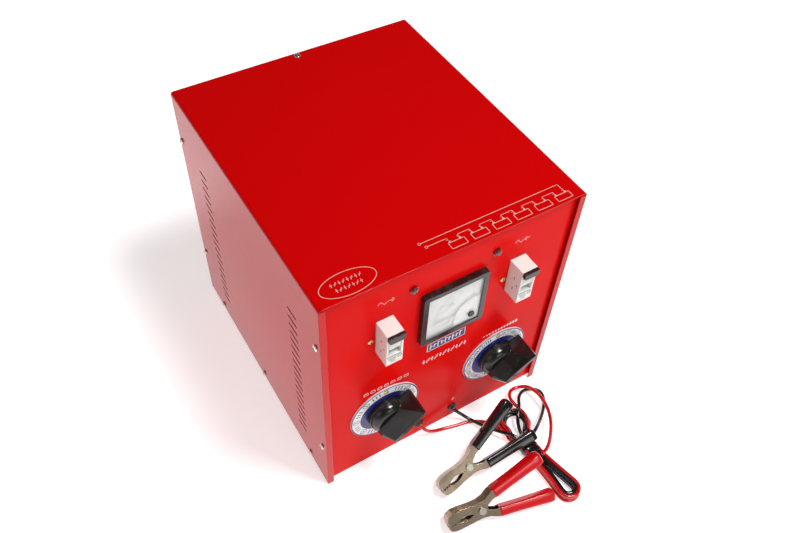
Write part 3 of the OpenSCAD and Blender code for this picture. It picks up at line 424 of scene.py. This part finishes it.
def banded(name, colour, groove, pitch, axis, rough, metal):
    material, tree, shader = start_material(name)
    bands = use(tree, BANDS, Axis=axis, Pitch=pitch)
    grain = use(tree, GRAIN, Colour=colour, Variation=0.35, Scale=50.0, Roughness=rough,
                Gloss_variation=0.12)
    finish_normal(tree, shader, bands["Height"], 0.0002)
    tree.links.new(blend_colours(tree, bands["Groove"], grain["Colour"], groove),
                   shader.inputs["Base Color"])
    tree.links.new(grain["Roughness"], shader.inputs["Roughness"])
    shader.inputs["Metallic"].default_value = metal
    return material


def core_laminations():
    return banded("core laminations", rgb(0.22, 0.23, 0.25), rgb(0.02, 0.02, 0.02), 0.0009,
                  (0.0, 1.0, 0.0), 0.45, 0.8)


def wound_copper():
    return banded("wound copper", rgb(0.62, 0.26, 0.10), rgb(0.08, 0.02, 0.01), 0.0018,
                  (0.0, 0.0, 1.0), 0.28, 0.9)


def extruded_aluminium():
    return brushed_metal("extruded aluminium", rgb(0.68, 0.69, 0.70), 0.35, (1.0, 1.0, 0.03))


def module_plastic():
    return surface("module plastic", rgb(0.02, 0.02, 0.02), 0.4, vary=0.3, scale=100.0)


def block_plastic():
    return surface("block plastic", rgb(0.80, 0.78, 0.70), 0.45, vary=0.15, scale=90.0)


def black_vinyl():
    return surface("black vinyl", rgb(0.010, 0.010, 0.010), 0.16, vary=0.3, scale=90.0, gloss=0.1,
                   edge=0.0006, depth=0.00005, coat=0.3)


def red_vinyl():
    return surface("red vinyl", rgb(0.66, 0.004, 0.008), 0.20, vary=0.25, scale=80.0, gloss=0.12,
                   edge=0.0006, depth=0.00005, coat=0.3)


def clip_plate():
    # The near-white edge colour is a painted highlight along the clip's edges.
    return surface("clip plate", rgb(0.34, 0.27, 0.19), 0.30, metal=1.0, vary=0.7, scale=160.0,
                   gloss=0.2, edge=0.0004, edge_highlight_colour=rgb(0.95, 0.92, 0.85), edge_highlight_amount=0.8)


def spring_steel():
    return brushed_metal("spring steel", rgb(0.62, 0.58, 0.50), 0.3, (1.0, 1.0, 0.1))


def ink(name, colour):
    return surface(name, colour, 0.4, vary=0.12, scale=250.0, gloss=0.1, depth=0.00001, edge=0.0001)


MADE = {}


def material(maker, *given):
    key = maker.__name__ + str(given)
    if key not in MADE:
        MADE[key] = maker(*given)
    return MADE[key]


WHITE = ("white ink", rgb(0.88, 0.86, 0.84))
NAVY = ("navy ink", rgb(0.012, 0.014, 0.16))
BLACK = ("black ink", rgb(0.02, 0.02, 0.022))
GREY = ("grey ink", rgb(0.20, 0.20, 0.21))
DARK_GREY = ("dark grey ink", rgb(0.02, 0.02, 0.025))
PALE_RED = ("pale ink", rgb(0.80, 0.48, 0.42))

SLOT_LOOKS = {
    "case_paint": case_paint, "panel_paint": panel_paint, "zinc_sheet": zinc_sheet,
    "nickel_screws": nickel_plate, "breaker_plastic": breaker_plastic, "toggle_plastic": toggle_plastic,
    "brass_screws": brass_plate, "lamp_lens": lamp_lens, "meter_plastic": meter_plastic,
    "meter_glass": meter_glass, "dial_card": dial_card, "needle_black": needle_paint,
    "dial_plate": dial_enamel, "knob_plastic": knob_plastic, "steel_parts": machined_steel,
    "switch_laminate": switch_laminate, "grommet_rubber": rubber, "core_steel": core_laminations,
    "copper_windings": wound_copper, "sink_aluminium": extruded_aluminium,
    "module_plastic": module_plastic, "block_plastic": block_plastic, "black_pvc": black_vinyl,
    "red_pvc": red_vinyl, "hank_mix": red_vinyl, "clip_steel": clip_plate,
    "clip_spring_steel": spring_steel}


def dress_nodes():
    """Every CAD node gets the look of its material slot."""
    for part in frame["record"]["subparts"]:
        mesh = frame["nodes"][part["node"]].data
        mesh.materials.clear()
        mesh.materials.append(material(SLOT_LOOKS[part["material_slot"]]))


# ---------------------------------------------------------------- clip leads and their hank

LEAD_R = 2.1
BLACK_OUT = [(22, -148, 22), (22, -154, 22), (22.3, -160.5, 21.5), (25.5, -164, 17.5), (30, -166.5, 12),
             (34, -171, 8.6), (39, -179, 7.2), (46, -191, 7.8), (54, -205, 11.5), (62, -217.5, 15.8)]
RED_OUT = [(-22, -148, 22), (-22, -154, 22), (-21.7, -160.5, 21.3), (-19, -163.5, 16.5),
           (-13, -165, 9.5), (-5, -166, 4.6), (5, -167.5, 2.4), (19, -171, 2.2), (36, -175, 2.2),
           (51, -184, 2.2)]
BLACK_LOOP = [(78, -234, 28), (88, -229, 25), (106, -217, 14), (120, -206, 7), (129, -196, 4),
              (132, -185, 4), (125, -177, 4.5), (113, -175.5, 8), (101, -182, 13.5), (93, -192, 16.4),
              (86, -200, 15)]
RED_LOOP = [(68, -262, 39), (80, -257, 36), (97, -243, 27), (112, -226, 19), (121, -208, 15),
            (123, -190, 14), (119, -176, 12.5), (109, -169, 10), (99, -169, 10), (92, -177, 11.5),
            (91.5, -188, 12.2)]
ROWS = (3.0, 7.2, 11.4)
TIE = (74, -239)
FAN = (79.5, -203)
END = (81, -299)


def smooth(points, steps=6):
    """Points along a smooth curve through the given ones."""
    p = [Vector(q) for q in points]
    out = []
    for i in range(len(p) - 1):
        a, b, c, d = p[max(i - 1, 0)], p[i], p[i + 1], p[min(i + 2, len(p) - 1)]
        for k in range(steps):
            t = k / steps
            out.append(0.5 * (2 * b + (c - a) * t + (2 * a - 5 * b + 4 * c - d) * t * t
                              + (3 * b - a - 3 * c + d) * t ** 3))
    out.append(p[-1])
    return out


def left_run(z, waist, fan_r, end_r):
    """Down the left side of the hank, through the tie and round its lower end."""
    return [(FAN[0] - fan_r * 0.96, FAN[1] - 7, z), (TIE[0] - (waist + fan_r) * 0.52, TIE[1] + 20, z),
            (TIE[0] - waist, TIE[1] + 7, z), (TIE[0] - waist + 0.5, TIE[1] - 8, z),
            (76.5 - waist, -262, z), (79 - (waist + end_r) * 0.48, -281, z),
            (END[0] - end_r, END[1], z), (END[0] - end_r * 0.72, END[1] - end_r * 0.72, z),
            (END[0], END[1] - end_r, z)]


def right_run(z, waist, end_r):
    """From the lower end up the right side, through the tie."""
    return [(END[0] + end_r * 0.72, END[1] - end_r * 0.72, z), (END[0] + end_r, END[1], z),
            (79.5 + (waist + end_r) * 0.48, -281, z), (77 + waist, -262, z),
            (TIE[0] + waist + 0.5, TIE[1] - 8, z), (TIE[0] + waist, TIE[1] + 7, z)]


def fan_run(z_from, z_to, waist, fan_r):
    """Over the fanned upper end, from the right side to the left, changing rows."""
    run = [(TIE[0] + (waist + fan_r) * 0.62, TIE[1] + 20, z_from),
           (FAN[0] + fan_r * 0.98, FAN[1] - 7, z_from)]
    for angle in (15, 50, 90, 130, 165):
        a = math.radians(angle)
        z = z_from + (z_to - z_from) * (angle / 180)
        run.append((FAN[0] + fan_r * math.cos(a), FAN[1] + fan_r * math.sin(a), z))
    return run


def hank_turns(rows, waist, fan_radii, end_radii):
    """Three turns of one lead, from its first left side to its last right side."""
    points = []
    for i, z in enumerate(rows):
        left = left_run(z, waist, fan_radii[max(i - 1, 0)], end_radii[i])
        points += left[2:] if i == 0 else left
        points += right_run(z, waist, end_radii[i])
        if i < len(rows) - 1:
            points += fan_run(z, rows[i + 1], waist, fan_radii[i])
    return points


def lead_curve(name, points, look, steps):
    curve = bpy.data.curves.new(name, "CURVE")
    curve.dimensions = "3D"
    curve.bevel_depth = LEAD_R * MM
    curve.bevel_resolution = 3
    curve.use_fill_caps = True
    line = smooth(points, steps)
    spline = curve.splines.new("POLY")
    spline.points.add(len(line) - 1)
    for point, place in zip(spline.points, line):
        point.co = (*(place * MM), 1)
    spline.use_smooth = True
    curve.materials.append(material(look))
    piece = bpy.data.objects.new(name, curve)
    bpy.context.scene.collection.objects.link(piece)
    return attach(piece, "cabinet")


def make_leads():
    red = RED_OUT + [(61, -200, 2.8), (64.5, -216, 3.0)]
    red += hank_turns(ROWS, 7.1, (17.4, 15.0), (11.8, 10.6, 11.2))
    red += [(86.5, -219, 11.6), (93.5, -205, 12.0)] + RED_LOOP[::-1]
    black = BLACK_OUT + [(67.8, -226, 14.6)]
    black += hank_turns(ROWS[::-1], 2.7, (12.2, 10.2), (7.4, 6.3, 7.0))
    black += [(77.6, -222, 4.2), (79, -213, 7.5), (81.5, -206, 12.0)] + BLACK_LOOP[::-1]
    clip = ["_clip_fixed_half", "_clip_moving_half", "_clip_rivet", "_clip_spring"]
    sleeves = ["_clip_fixed_grip", "_clip_moving_grip"]
    leads = (("red", red, red_vinyl, RED_OUT), ("black", black, black_vinyl, BLACK_OUT))
    for colour, points, look, out in leads:
        lead = lead_curve(colour + "_clip_lead", points, look, 5)
        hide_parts(colour + "_lead", "lead_hank")
        pieces = [colour + s for s in clip + sleeves]
        if colour == "red":
            pieces.append("hank_band")


# ---------------------------------------------------------------- pieces on the leads

def node_axes(name):
    """Middle, axes and half sizes of a long CAD node: along it first, then its wider side."""
    mesh = frame["nodes"][name].data
    points = np.array([v.co for v in mesh.vertices])
    points = np.unique(points.round(6), axis=0)
    middle = (points.max(0) + points.min(0)) / 2
    vectors = np.linalg.eigh(np.cov((points - points.mean(0)).T))[1]
    axes = vectors[:, ::-1].T
    spans = [(points - middle) @ a for a in axes]
    middle = middle + sum(a * (s.max() + s.min()) / 2 for a, s in zip(axes, spans))
    return middle, axes, [(s.max() - s.min()) / 2 for s in spans]


def loft(name, rings, look, body, close=(True, True)):
    """A closed skin over rings of equal point counts."""
    bm = bmesh.new()
    made = [[bm.verts.new(p) for p in ring] for ring in rings]
    count = len(made[0])
    for a, b in zip(made, made[1:]):
        for i in range(count):
            bm.faces.new((a[i], a[(i + 1) % count], b[(i + 1) % count], b[i]))
    if close[0]:
        bm.faces.new(made[0][::-1])
    if close[1]:
        bm.faces.new(made[-1])
    bmesh.ops.recalc_face_normals(bm, faces=bm.faces)
    mesh = bpy.data.meshes.new(name)
    bm.to_mesh(mesh)
    bm.free()
    for face in mesh.polygons:
        face.use_smooth = True
    mesh.materials.append(material(look) if callable(look) else look)
    piece = bpy.data.objects.new(name, mesh)
    bpy.context.scene.collection.objects.link(piece)
    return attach(piece, body)


def squarish(middle, across, over, half_w, half_h, power=4.0, count=40):
    """A ring between an ellipse and a rectangle."""
    ring = []
    for i in range(count):
        a = 2 * math.pi * i / count
        c, s = math.cos(a), math.sin(a)
        x = math.copysign(abs(c) ** (2 / power), c) * half_w
        y = math.copysign(abs(s) ** (2 / power), s) * half_h
        ring.append(Vector(middle) + Vector(across) * x + Vector(over) * y)
    return ring


def make_grip(colour, which):
    """A dipped vinyl grip: snug at the near end, flared towards the far end, with a rounded tip."""
    node = f"{colour}_clip_{which}_sleeve"
    middle, (along, across, over), (half_l, half_w, half_h) = node_axes(node)
    low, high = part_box(f"{colour}_clip_rivet")
    if np.dot(np.array((low + high) / 2) - middle, along) > 0:
        along = -along
    rings = []
    profile = [(0.0, 0.90), (0.004, 1.0), (0.03, 1.03), (0.06, 0.99), (0.35, 1.0), (0.6, 1.07),
               (0.8, 1.16), (0.92, 1.20), (0.965, 1.16), (0.988, 1.02), (1.0, 0.72)]
    for t, size in profile:
        place = middle + along * half_l * (2 * t - 1)
        wide = half_w * (1.0 + 0.3 * (size - 1)) if t < 0.95 else half_w * size * 0.86
        tall = half_h * (1.02 if size < 1.0 and t < 0.5 else size)
        rings.append(squarish(place, across, over, wide, tall, 6.0))
    body = "cabinet" if which == "fixed" else f"{colour}_clip_jaw"
    grip = loft(f"{colour}_clip_{which}_grip", rings, black_vinyl if colour == "black" else red_vinyl, body)
    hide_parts(node)
    return grip


def make_band():
    """The black band round the hank's waist, creased where it is pulled tight."""
    low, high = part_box("hank_tie")
    middle = (low + high) / 2
    turn = math.radians(4)
    along = Vector((-math.sin(turn), math.cos(turn), 0))
    across = Vector((math.cos(turn), math.sin(turn), 0))
    half_w, half_h = 0.0104, (high.z - low.z) / 2
    rings = []
    for k in range(17):
        t = k / 16
        swell = 1.0 + 0.035 * math.sin(t * math.pi * 5) - 0.05 * abs(2 * t - 1) ** 3
        rings.append(squarish(middle + along * 0.0085 * (2 * t - 1), across, Vector((0, 0, 1)),
                              half_w * swell, half_h * swell, 3.0))
    band = loft("hank_band", rings, black_vinyl, "cabinet")
    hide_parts("hank_tie")
    return band


# ---------------------------------------------------------------- printed marks

class Ink:
    """Flat printed shapes in millimetres, laid on a plane of the object."""

    def __init__(self):
        self.shapes = []

    def shape(self, points):
        self.shapes.append([tuple(p) for p in points])

    def box(self, x, y, w, h):
        left, right, low, high = x - w / 2, x + w / 2, y - h / 2, y + h / 2
        self.shape([(left, low), (right, low), (right, high), (left, high)])

    def line(self, points, width, closed=False):
        pts = list(points) + ([points[0]] if closed else [])
        for (x0, y0), (x1, y1) in zip(pts, pts[1:]):
            long = math.hypot(x1 - x0, y1 - y0) or 1e-9
            dx, dy = (x1 - x0) / long * width / 2, (y1 - y0) / long * width / 2
            x0, y0, x1, y1 = x0 - dx, y0 - dy, x1 + dx, y1 + dy
            self.shape([(x0 + dy, y0 - dx), (x1 + dy, y1 - dx), (x1 - dy, y1 + dx), (x0 - dy, y0 + dx)])

    def arc(self, x, y, rx, ry, width, start=0.0, stop=360.0, steps=64):
        for i in range(steps):
            corners = []
            for k, grow in ((i, 1), (i + 1, 1), (i + 1, -1), (i, -1)):
                a = math.radians(start + (stop - start) * k / steps)
                wider = grow * width / 2
                corners.append((x + (rx + wider) * math.cos(a), y + (ry + wider) * math.sin(a)))
            self.shape(corners[::-1] if stop > start else corners)

    def disc(self, x, y, r, steps=32):
        self.shape([(x + r * math.cos(2 * math.pi * i / steps), y + r * math.sin(2 * math.pi * i / steps))
                    for i in range(steps)])

    def number(self, digits, x, y, size, angle=0.0, squeeze=1.0):
        curve = bpy.data.curves.new("number", "FONT")
        curve.body = digits
        curve.size = size
        curve.align_x = "CENTER"
        curve.align_y = "CENTER"
        holder = bpy.data.objects.new("number", curve)
        bpy.context.scene.collection.objects.link(holder)
        seen = holder.evaluated_get(bpy.context.evaluated_depsgraph_get())
        mesh = bpy.data.meshes.new_from_object(seen)
        c, s = math.cos(math.radians(angle)), math.sin(math.radians(angle))
        for face in mesh.polygons:
            spots = [mesh.vertices[i].co for i in face.vertices]
            self.shape([(x + c * p.x * squeeze - s * p.y, y + s * p.x * squeeze + c * p.y) for p in spots])
        bpy.data.objects.remove(holder)
        bpy.data.meshes.remove(mesh)

    def put(self, name, origin, u, v, look, body="cabinet", lift=0.05):
        """Lays the shapes at origin with axes u and v, a hair above the surface."""
        out = Vector(u).cross(Vector(v)).normalized()
        base = Vector(origin) + out * lift * MM
        places, faces = [], []
        for shape in self.shapes:
            area = sum(a[0] * b[1] - b[0] * a[1] for a, b in zip(shape, shape[1:] + shape[:1]))
            spots = shape if area > 0 else shape[::-1]
            faces.append(tuple(range(len(places), len(places) + len(spots))))
            places += [base + (Vector(u) * x + Vector(v) * y) * MM for x, y in spots]
        mesh = bpy.data.meshes.new(name)
        mesh.from_pydata(places, [], faces)
        mesh.materials.append(material(ink, *look))
        piece = bpy.data.objects.new(name, mesh)
        bpy.context.scene.collection.objects.link(piece)
        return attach(piece, body)


X = Vector((1, 0, 0))
Y = Vector((0, 1, 0))
Z = Vector((0, 0, 1))


def middle_of(node):
    low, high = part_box(node)
    return (low + high) / 2


def on_panel(node, up=0.0, right=0.0):
    """A place on the front panel's face, level with a node's middle."""
    m = middle_of(node)
    return Vector((m.x + right * MM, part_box("front_panel")[0].y, m.z + up * MM))


def print_flow_mark(name, node, inward):
    """Arrow through a bar beside a wave, for mains in or current out."""
    mark = Ink()
    sign = 1 if inward else -1
    mark.line([(-8.2, 0), (-5.8, 2.6), (-3.6, 0), (-1.4, -2.6), (1.0, 0)], 0.7)
    mark.line([(2.4, 0), (8, 0)], 0.8)
    tip = 8.4 if inward else 2.2
    mark.line([(tip - sign * 2.2, 2.2), (tip, 0), (tip - sign * 2.2, -2.2)], 0.8)
    mark.put(name, on_panel(node, 46.3, 0.8), X, Z, PALE_RED)


def print_cell_row(name, node, up, left, right, count):
    """A row of small batteries above a dial."""
    mark = Ink()
    step = (right - left) / count
    for i in range(count):
        x = left + step * (i + 0.5)
        w = step * 0.62
        mark.line([(x - w / 2, -1.9), (x + w / 2, -1.9), (x + w / 2, 1.2), (x - w / 2, 1.2)], 0.65, True)
        mark.box(x - w * 0.25, 2.0, 0.9, 0.9)
        mark.box(x + w * 0.25, 2.0, 0.9, 0.9)
    mark.put(name, on_panel(node, up), X, Z, WHITE)


def print_rising_bars(name, node, up, left, right, count):
    """A row of rising bars above a dial, for more current."""
    mark = Ink()
    step = (right - left) / count
    for i in range(count):
        tall = 1.4 + 3.2 * i / (count - 1)
        mark.box(left + step * (i + 0.5), -2.2 + tall / 2, step * 0.55, tall)
    mark.put(name, on_panel(node, up), X, Z, WHITE)


def print_nameplate():
    plate = Ink()
    plate.box(0, 0, 46, 13.6)
    at = on_panel("meter_bezel", -56)
    plate.put("nameplate_field", at, X, Z, NAVY)
    edge = Ink()
    edge.line([(-22.3, -6.1), (22.3, -6.1), (22.3, 6.1), (-22.3, 6.1)], 0.9, True)
    for i in range(9):
        x = -17.6 + i * 4.4
        tall = 3.6 if i % 2 == 0 else 2.2
        edge.line([(x - 1.1, -tall), (x - 1.1, tall)], 1.5)
        edge.box(x + 0.5, tall - 0.8 if i % 3 else 0, 2.2, 1.4)
    edge.put("nameplate_marks", at, X, Z, WHITE, lift=0.09)
    row = Ink()
    for i in range(11):
        x = -25 + i * 5
        row.box(x, 0, 3.2, 1.2)
        if i % 2 == 0:
            row.box(x, 0, 1.2, 6.4)
        else:
            row.line([(x - 1.6, -3), (x + 1.6, 3)], 1.0)
    row.put("nameplate_row", on_panel("meter_bezel", -78.5), X, Z, WHITE)


def print_earth_mark():
    mark = Ink()
    mark.line([(0, 3.2), (0, 0)], 0.7)
    for i in range(3):
        mark.box(0, -1.3 * i, 5.2 - 1.7 * i, 0.6)
    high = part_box("lead_grommets")[1]
    at = Vector((high.x - 0.0055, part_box("front_panel")[0].y, high.z + 0.011))
    mark.put("polarity_mark", at, X, Z, PALE_RED)


def print_dial(name, node, first, step, count):
    """Navy rim and disc on the white plate, with its round numbered marks."""
    low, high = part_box(node)
    centre = Vector(((low.x + high.x) / 2, low.y, (low.z + high.z) / 2))
    outer = (high.x - low.x) / 2 / MM
    navy = Ink()
    navy.arc(0, 0, outer - 0.85, outer - 0.85, 1.5, steps=96)
    navy.arc(0, 0, 18.0, 18.0, 23.0, steps=96)
    navy.put(name + "_rings", centre, X, Z, NAVY)
    marks = Ink()
    for i in range(count):
        a = first + step * i
        if abs((a % 360) - 90) < 12:
            continue
        x, y = 34.3 * math.cos(math.radians(a)), 34.3 * math.sin(math.radians(a))
        marks.number(str(i), x, y, 6.6, a - 90)
        marks.arc(x, y, 3.7, 3.7, 0.6, steps=28)
    gap = 360.0 / (count if step * count >= 360 else round(360 / step))
    for i in range(int(round(360 / gap))):
        for part in (0.35, 0.5, 0.65):
            a = math.radians(first + gap * (i + part))
            if abs(math.degrees(a) % 360 - 90) < 9:
                continue
            marks.line([(r * math.cos(a), r * math.sin(a)) for r in (32.4, 36.4)], 1.2)
    marks.put(name + "_numbers", centre, X, Z, BLACK, lift=0.08)


def print_meter_scale():
    """Scale of the panel meter: arcs, ticks, numbers and plain marks round the pivot."""
    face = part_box("meter_dial")[0].y
    bezel = middle_of("meter_bezel")
    pivot = Vector((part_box("meter_needle")[1].x - 0.007, face, middle_of("meter_needle").z))
    scale = Ink()
    radius = 41
    scale.arc(0, 0, radius, radius, 0.45, 84, 178, 48)
    scale.arc(0, 0, radius - 6.5, radius - 6.5, 0.3, 84, 178, 48)
    for i in range(31):
        a = math.radians(176 - i * 3)
        inner = radius - (5.0 if i % 5 == 0 else 2.4)
        width = 0.9 if i % 5 == 0 else 0.4
        scale.line([(r * math.cos(a), r * math.sin(a)) for r in (inner, radius)], width)
    for i in range(7):
        a = math.radians(176 - i * 15)
        reach = radius - 10.0
        scale.number(str(i * 5), reach * math.cos(a), reach * math.sin(a) + 0.6, 4.2)
    scale.put("meter_scale", pivot, X, Z, DARK_GREY)
    marks = Ink()
    marks.line([(-5, -3.5), (-1.6, 5), (1.8, -3.5)], 0.9)
    marks.line([(-3.6, -0.4), (0.4, -0.4)], 0.8)
    marks.line([(-9, 6.5), (-1, 1.5)], 0.4)
    marks.put("meter_unit_mark", Vector((bezel.x, face, bezel.z + 0.004)), X, Z, DARK_GREY)
    low = Ink()
    for i, tall in enumerate((1.8, 3.0, 1.6, 2.4)):
        low.box(-12 + i * 3.2, 0, 1.6, tall)
    low.put("meter_class_marks", Vector((bezel.x, face, bezel.z - 0.0225)), X, Z, DARK_GREY)


def print_meter_corner():
    """Painted shadow line round the pivot cover's rounded corner, and the card's two screws."""
    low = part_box("meter_shield")[0]
    bezel = middle_of("meter_bezel")
    # The black arc is painted shadow along the cover's rounded edge, not a print.
    edge = Ink()
    edge.arc(20, -15, 16.9, 16.9, 1.3, 88, 182, 40)
    edge.put("meter_cover_shadow_line", Vector((bezel.x, low.y, bezel.z)), X, Z, BLACK)
    screws = Ink()
    screws.disc(22.8, 5.5, 1.5)
    screws.disc(-2.6, -18.5, 1.5)
    screws.put("meter_card_screws", Vector((bezel.x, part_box("meter_dial")[0].y, bezel.z)), X, Z, BLACK)


def print_breaker(name, node):
    """Small marks and slits on a breaker's nose."""
    low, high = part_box(node)
    face = Vector(((low.x + high.x) / 2, low.y, middle_of(node).z))
    dark = Ink()
    dark.box(-0.6, -9.9, 14.6, 0.9)
    dark.put(name + "_front_line", face, X, Z, BLACK)
    grey = Ink()
    grey.arc(5.4, -13.2, 2.0, 2.0, 0.7, steps=24)
    for i in range(4):
        grey.box(-2.5 + 0.4 * i, -12.4 - i * 2.0, 9.5 - i * 1.6, 0.8)
    grey.box(5.4, -13.2, 2.2, 0.7)
    grey.put(name + "_rating_marks", face, X, Z, GREY, lift=0.08)
    slits = Ink()
    for z in (-9, 5.5):
        slits.box(9.5, z, 1.0, 4.2)
    slits.box(14.5, -1.0, 0.8, 3.0)
    side = Vector((low.x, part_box("front_panel")[0].y, face.z))
    slits.put(name + "_side_slits", side, -Y, Z, BLACK)


def make_drum_skin(which):
    """Pale skin over the toggle's drum, which closes the breaker's slot above and below the lever."""
    joint = next(j for j in frame["joints"] if j["child"] == which + "_toggle")
    axle = Vector(joint["pos_m"])
    below_front = 0.00012
    thickness = 0.0001
    radius = abs(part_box(which + "_breaker")[0].y - axle.y) - below_front
    side = X * 0.0062
    rings = []
    for degrees in range(-62, 27, 4):
        a = math.radians(degrees)
        way = Vector((0, -math.cos(a), math.sin(a)))
        inner, outer = axle + way * (radius - thickness), axle + way * radius
        rings.append([inner - side, inner + side, outer + side, outer - side])
    skin = loft(which + "_drum_skin", rings, breaker_plastic, which + "_toggle")
    for face in skin.data.polygons:
        face.use_smooth = False
    return skin


def print_top():
    """Wiring sketch of six cells in a row and an oval with plain marks, on the cover's top."""
    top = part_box("cover")[1].z
    at = Vector((0, 0, top))
    oval = Ink()
    oval.arc(-104.2, -144.7, 26.5, 12.4, 0.6, steps=96)
    for row, (left, right) in enumerate(((-16, 15), (-14, 13))):
        y = -141.2 - row * 7.0
        n = 8 - row
        for i in range(n):
            x = -104.2 + left + (right - left) * (i + 0.5) / n
            slanted, upright = [(x - 1.1, y - 1.6), (x + 1.1, y + 1.6)], [(x, y - 1.8), (x, y + 1.8)]
            oval.line(slanted if i % 2 else upright, 0.55)
            oval.box(x, y, 2.4, 0.5)
    oval.put("top_oval_mark", at, X, Y, PALE_RED)
    sketch = Ink()
    sketch.line([(-28.5, -137.9), (121.5, -137.9), (122, -147.5)], 0.6)
    sketch.line([(-25, -143.7), (-6, -143.7), (-5.6, -147.3)], 0.6)
    sketch.arc(-30.2, -137.9, 1.2, 1.2, 0.5, steps=20)
    sketch.arc(-26.7, -143.7, 1.2, 1.2, 0.5, steps=20)
    for i in range(6):
        x = -7.8 + 23.4 * i
        sketch.line([(x, -156.6), (x + 16.5, -156.6), (x + 16.5, -149.4), (x, -149.4)], 0.6, True)
        for shift in (2.2, 13.0):
            sketch.box(x + shift, -148.4, 2.0, 1.4)
            sketch.line([(x + shift, -147.6), (x + shift, -144.2)], 0.5)
            sketch.line([(x + shift - 1.6, -145.9), (x + shift - 0.2, -145.9)], 0.4)
        if i < 5:
            sketch.line([(x + 13.0, -144), (x + 23.4 + 2.2, -144)], 0.5)
    sketch.put("top_wiring_sketch", at, X, Y, PALE_RED)


def make_prints():
    print_flow_mark("input_mark", "input_breaker", True)
    print_flow_mark("output_mark", "output_breaker", False)
    print_cell_row("battery_count_row", "coarse_dial", 45.6, -26, 28, 7)
    print_rising_bars("current_row", "fine_dial", 45.4, -21, 25, 12)
    print_nameplate()
    print_earth_mark()
    print_dial("coarse_dial", "coarse_dial", 41, 45, 7)
    print_dial("fine_dial", "fine_dial", 36, 30, 10)
    print_meter_scale()
    print_meter_corner()
    print_breaker("input_breaker", "input_breaker")
    print_breaker("output_breaker", "output_breaker")
    make_drum_skin("input")
    make_drum_skin("output")
    print_top()


# ---------------------------------------------------------------- the whole scene

make_camera((-0.30335, -0.51401, 0.82818), -34.097, 49.722, 3.545, 36.30)
make_studio()
dress_nodes()
for hue in ("black", "red"):
    for side in ("fixed", "moving"):
        make_grip(hue, side)
make_band()
make_leads()
make_prints()
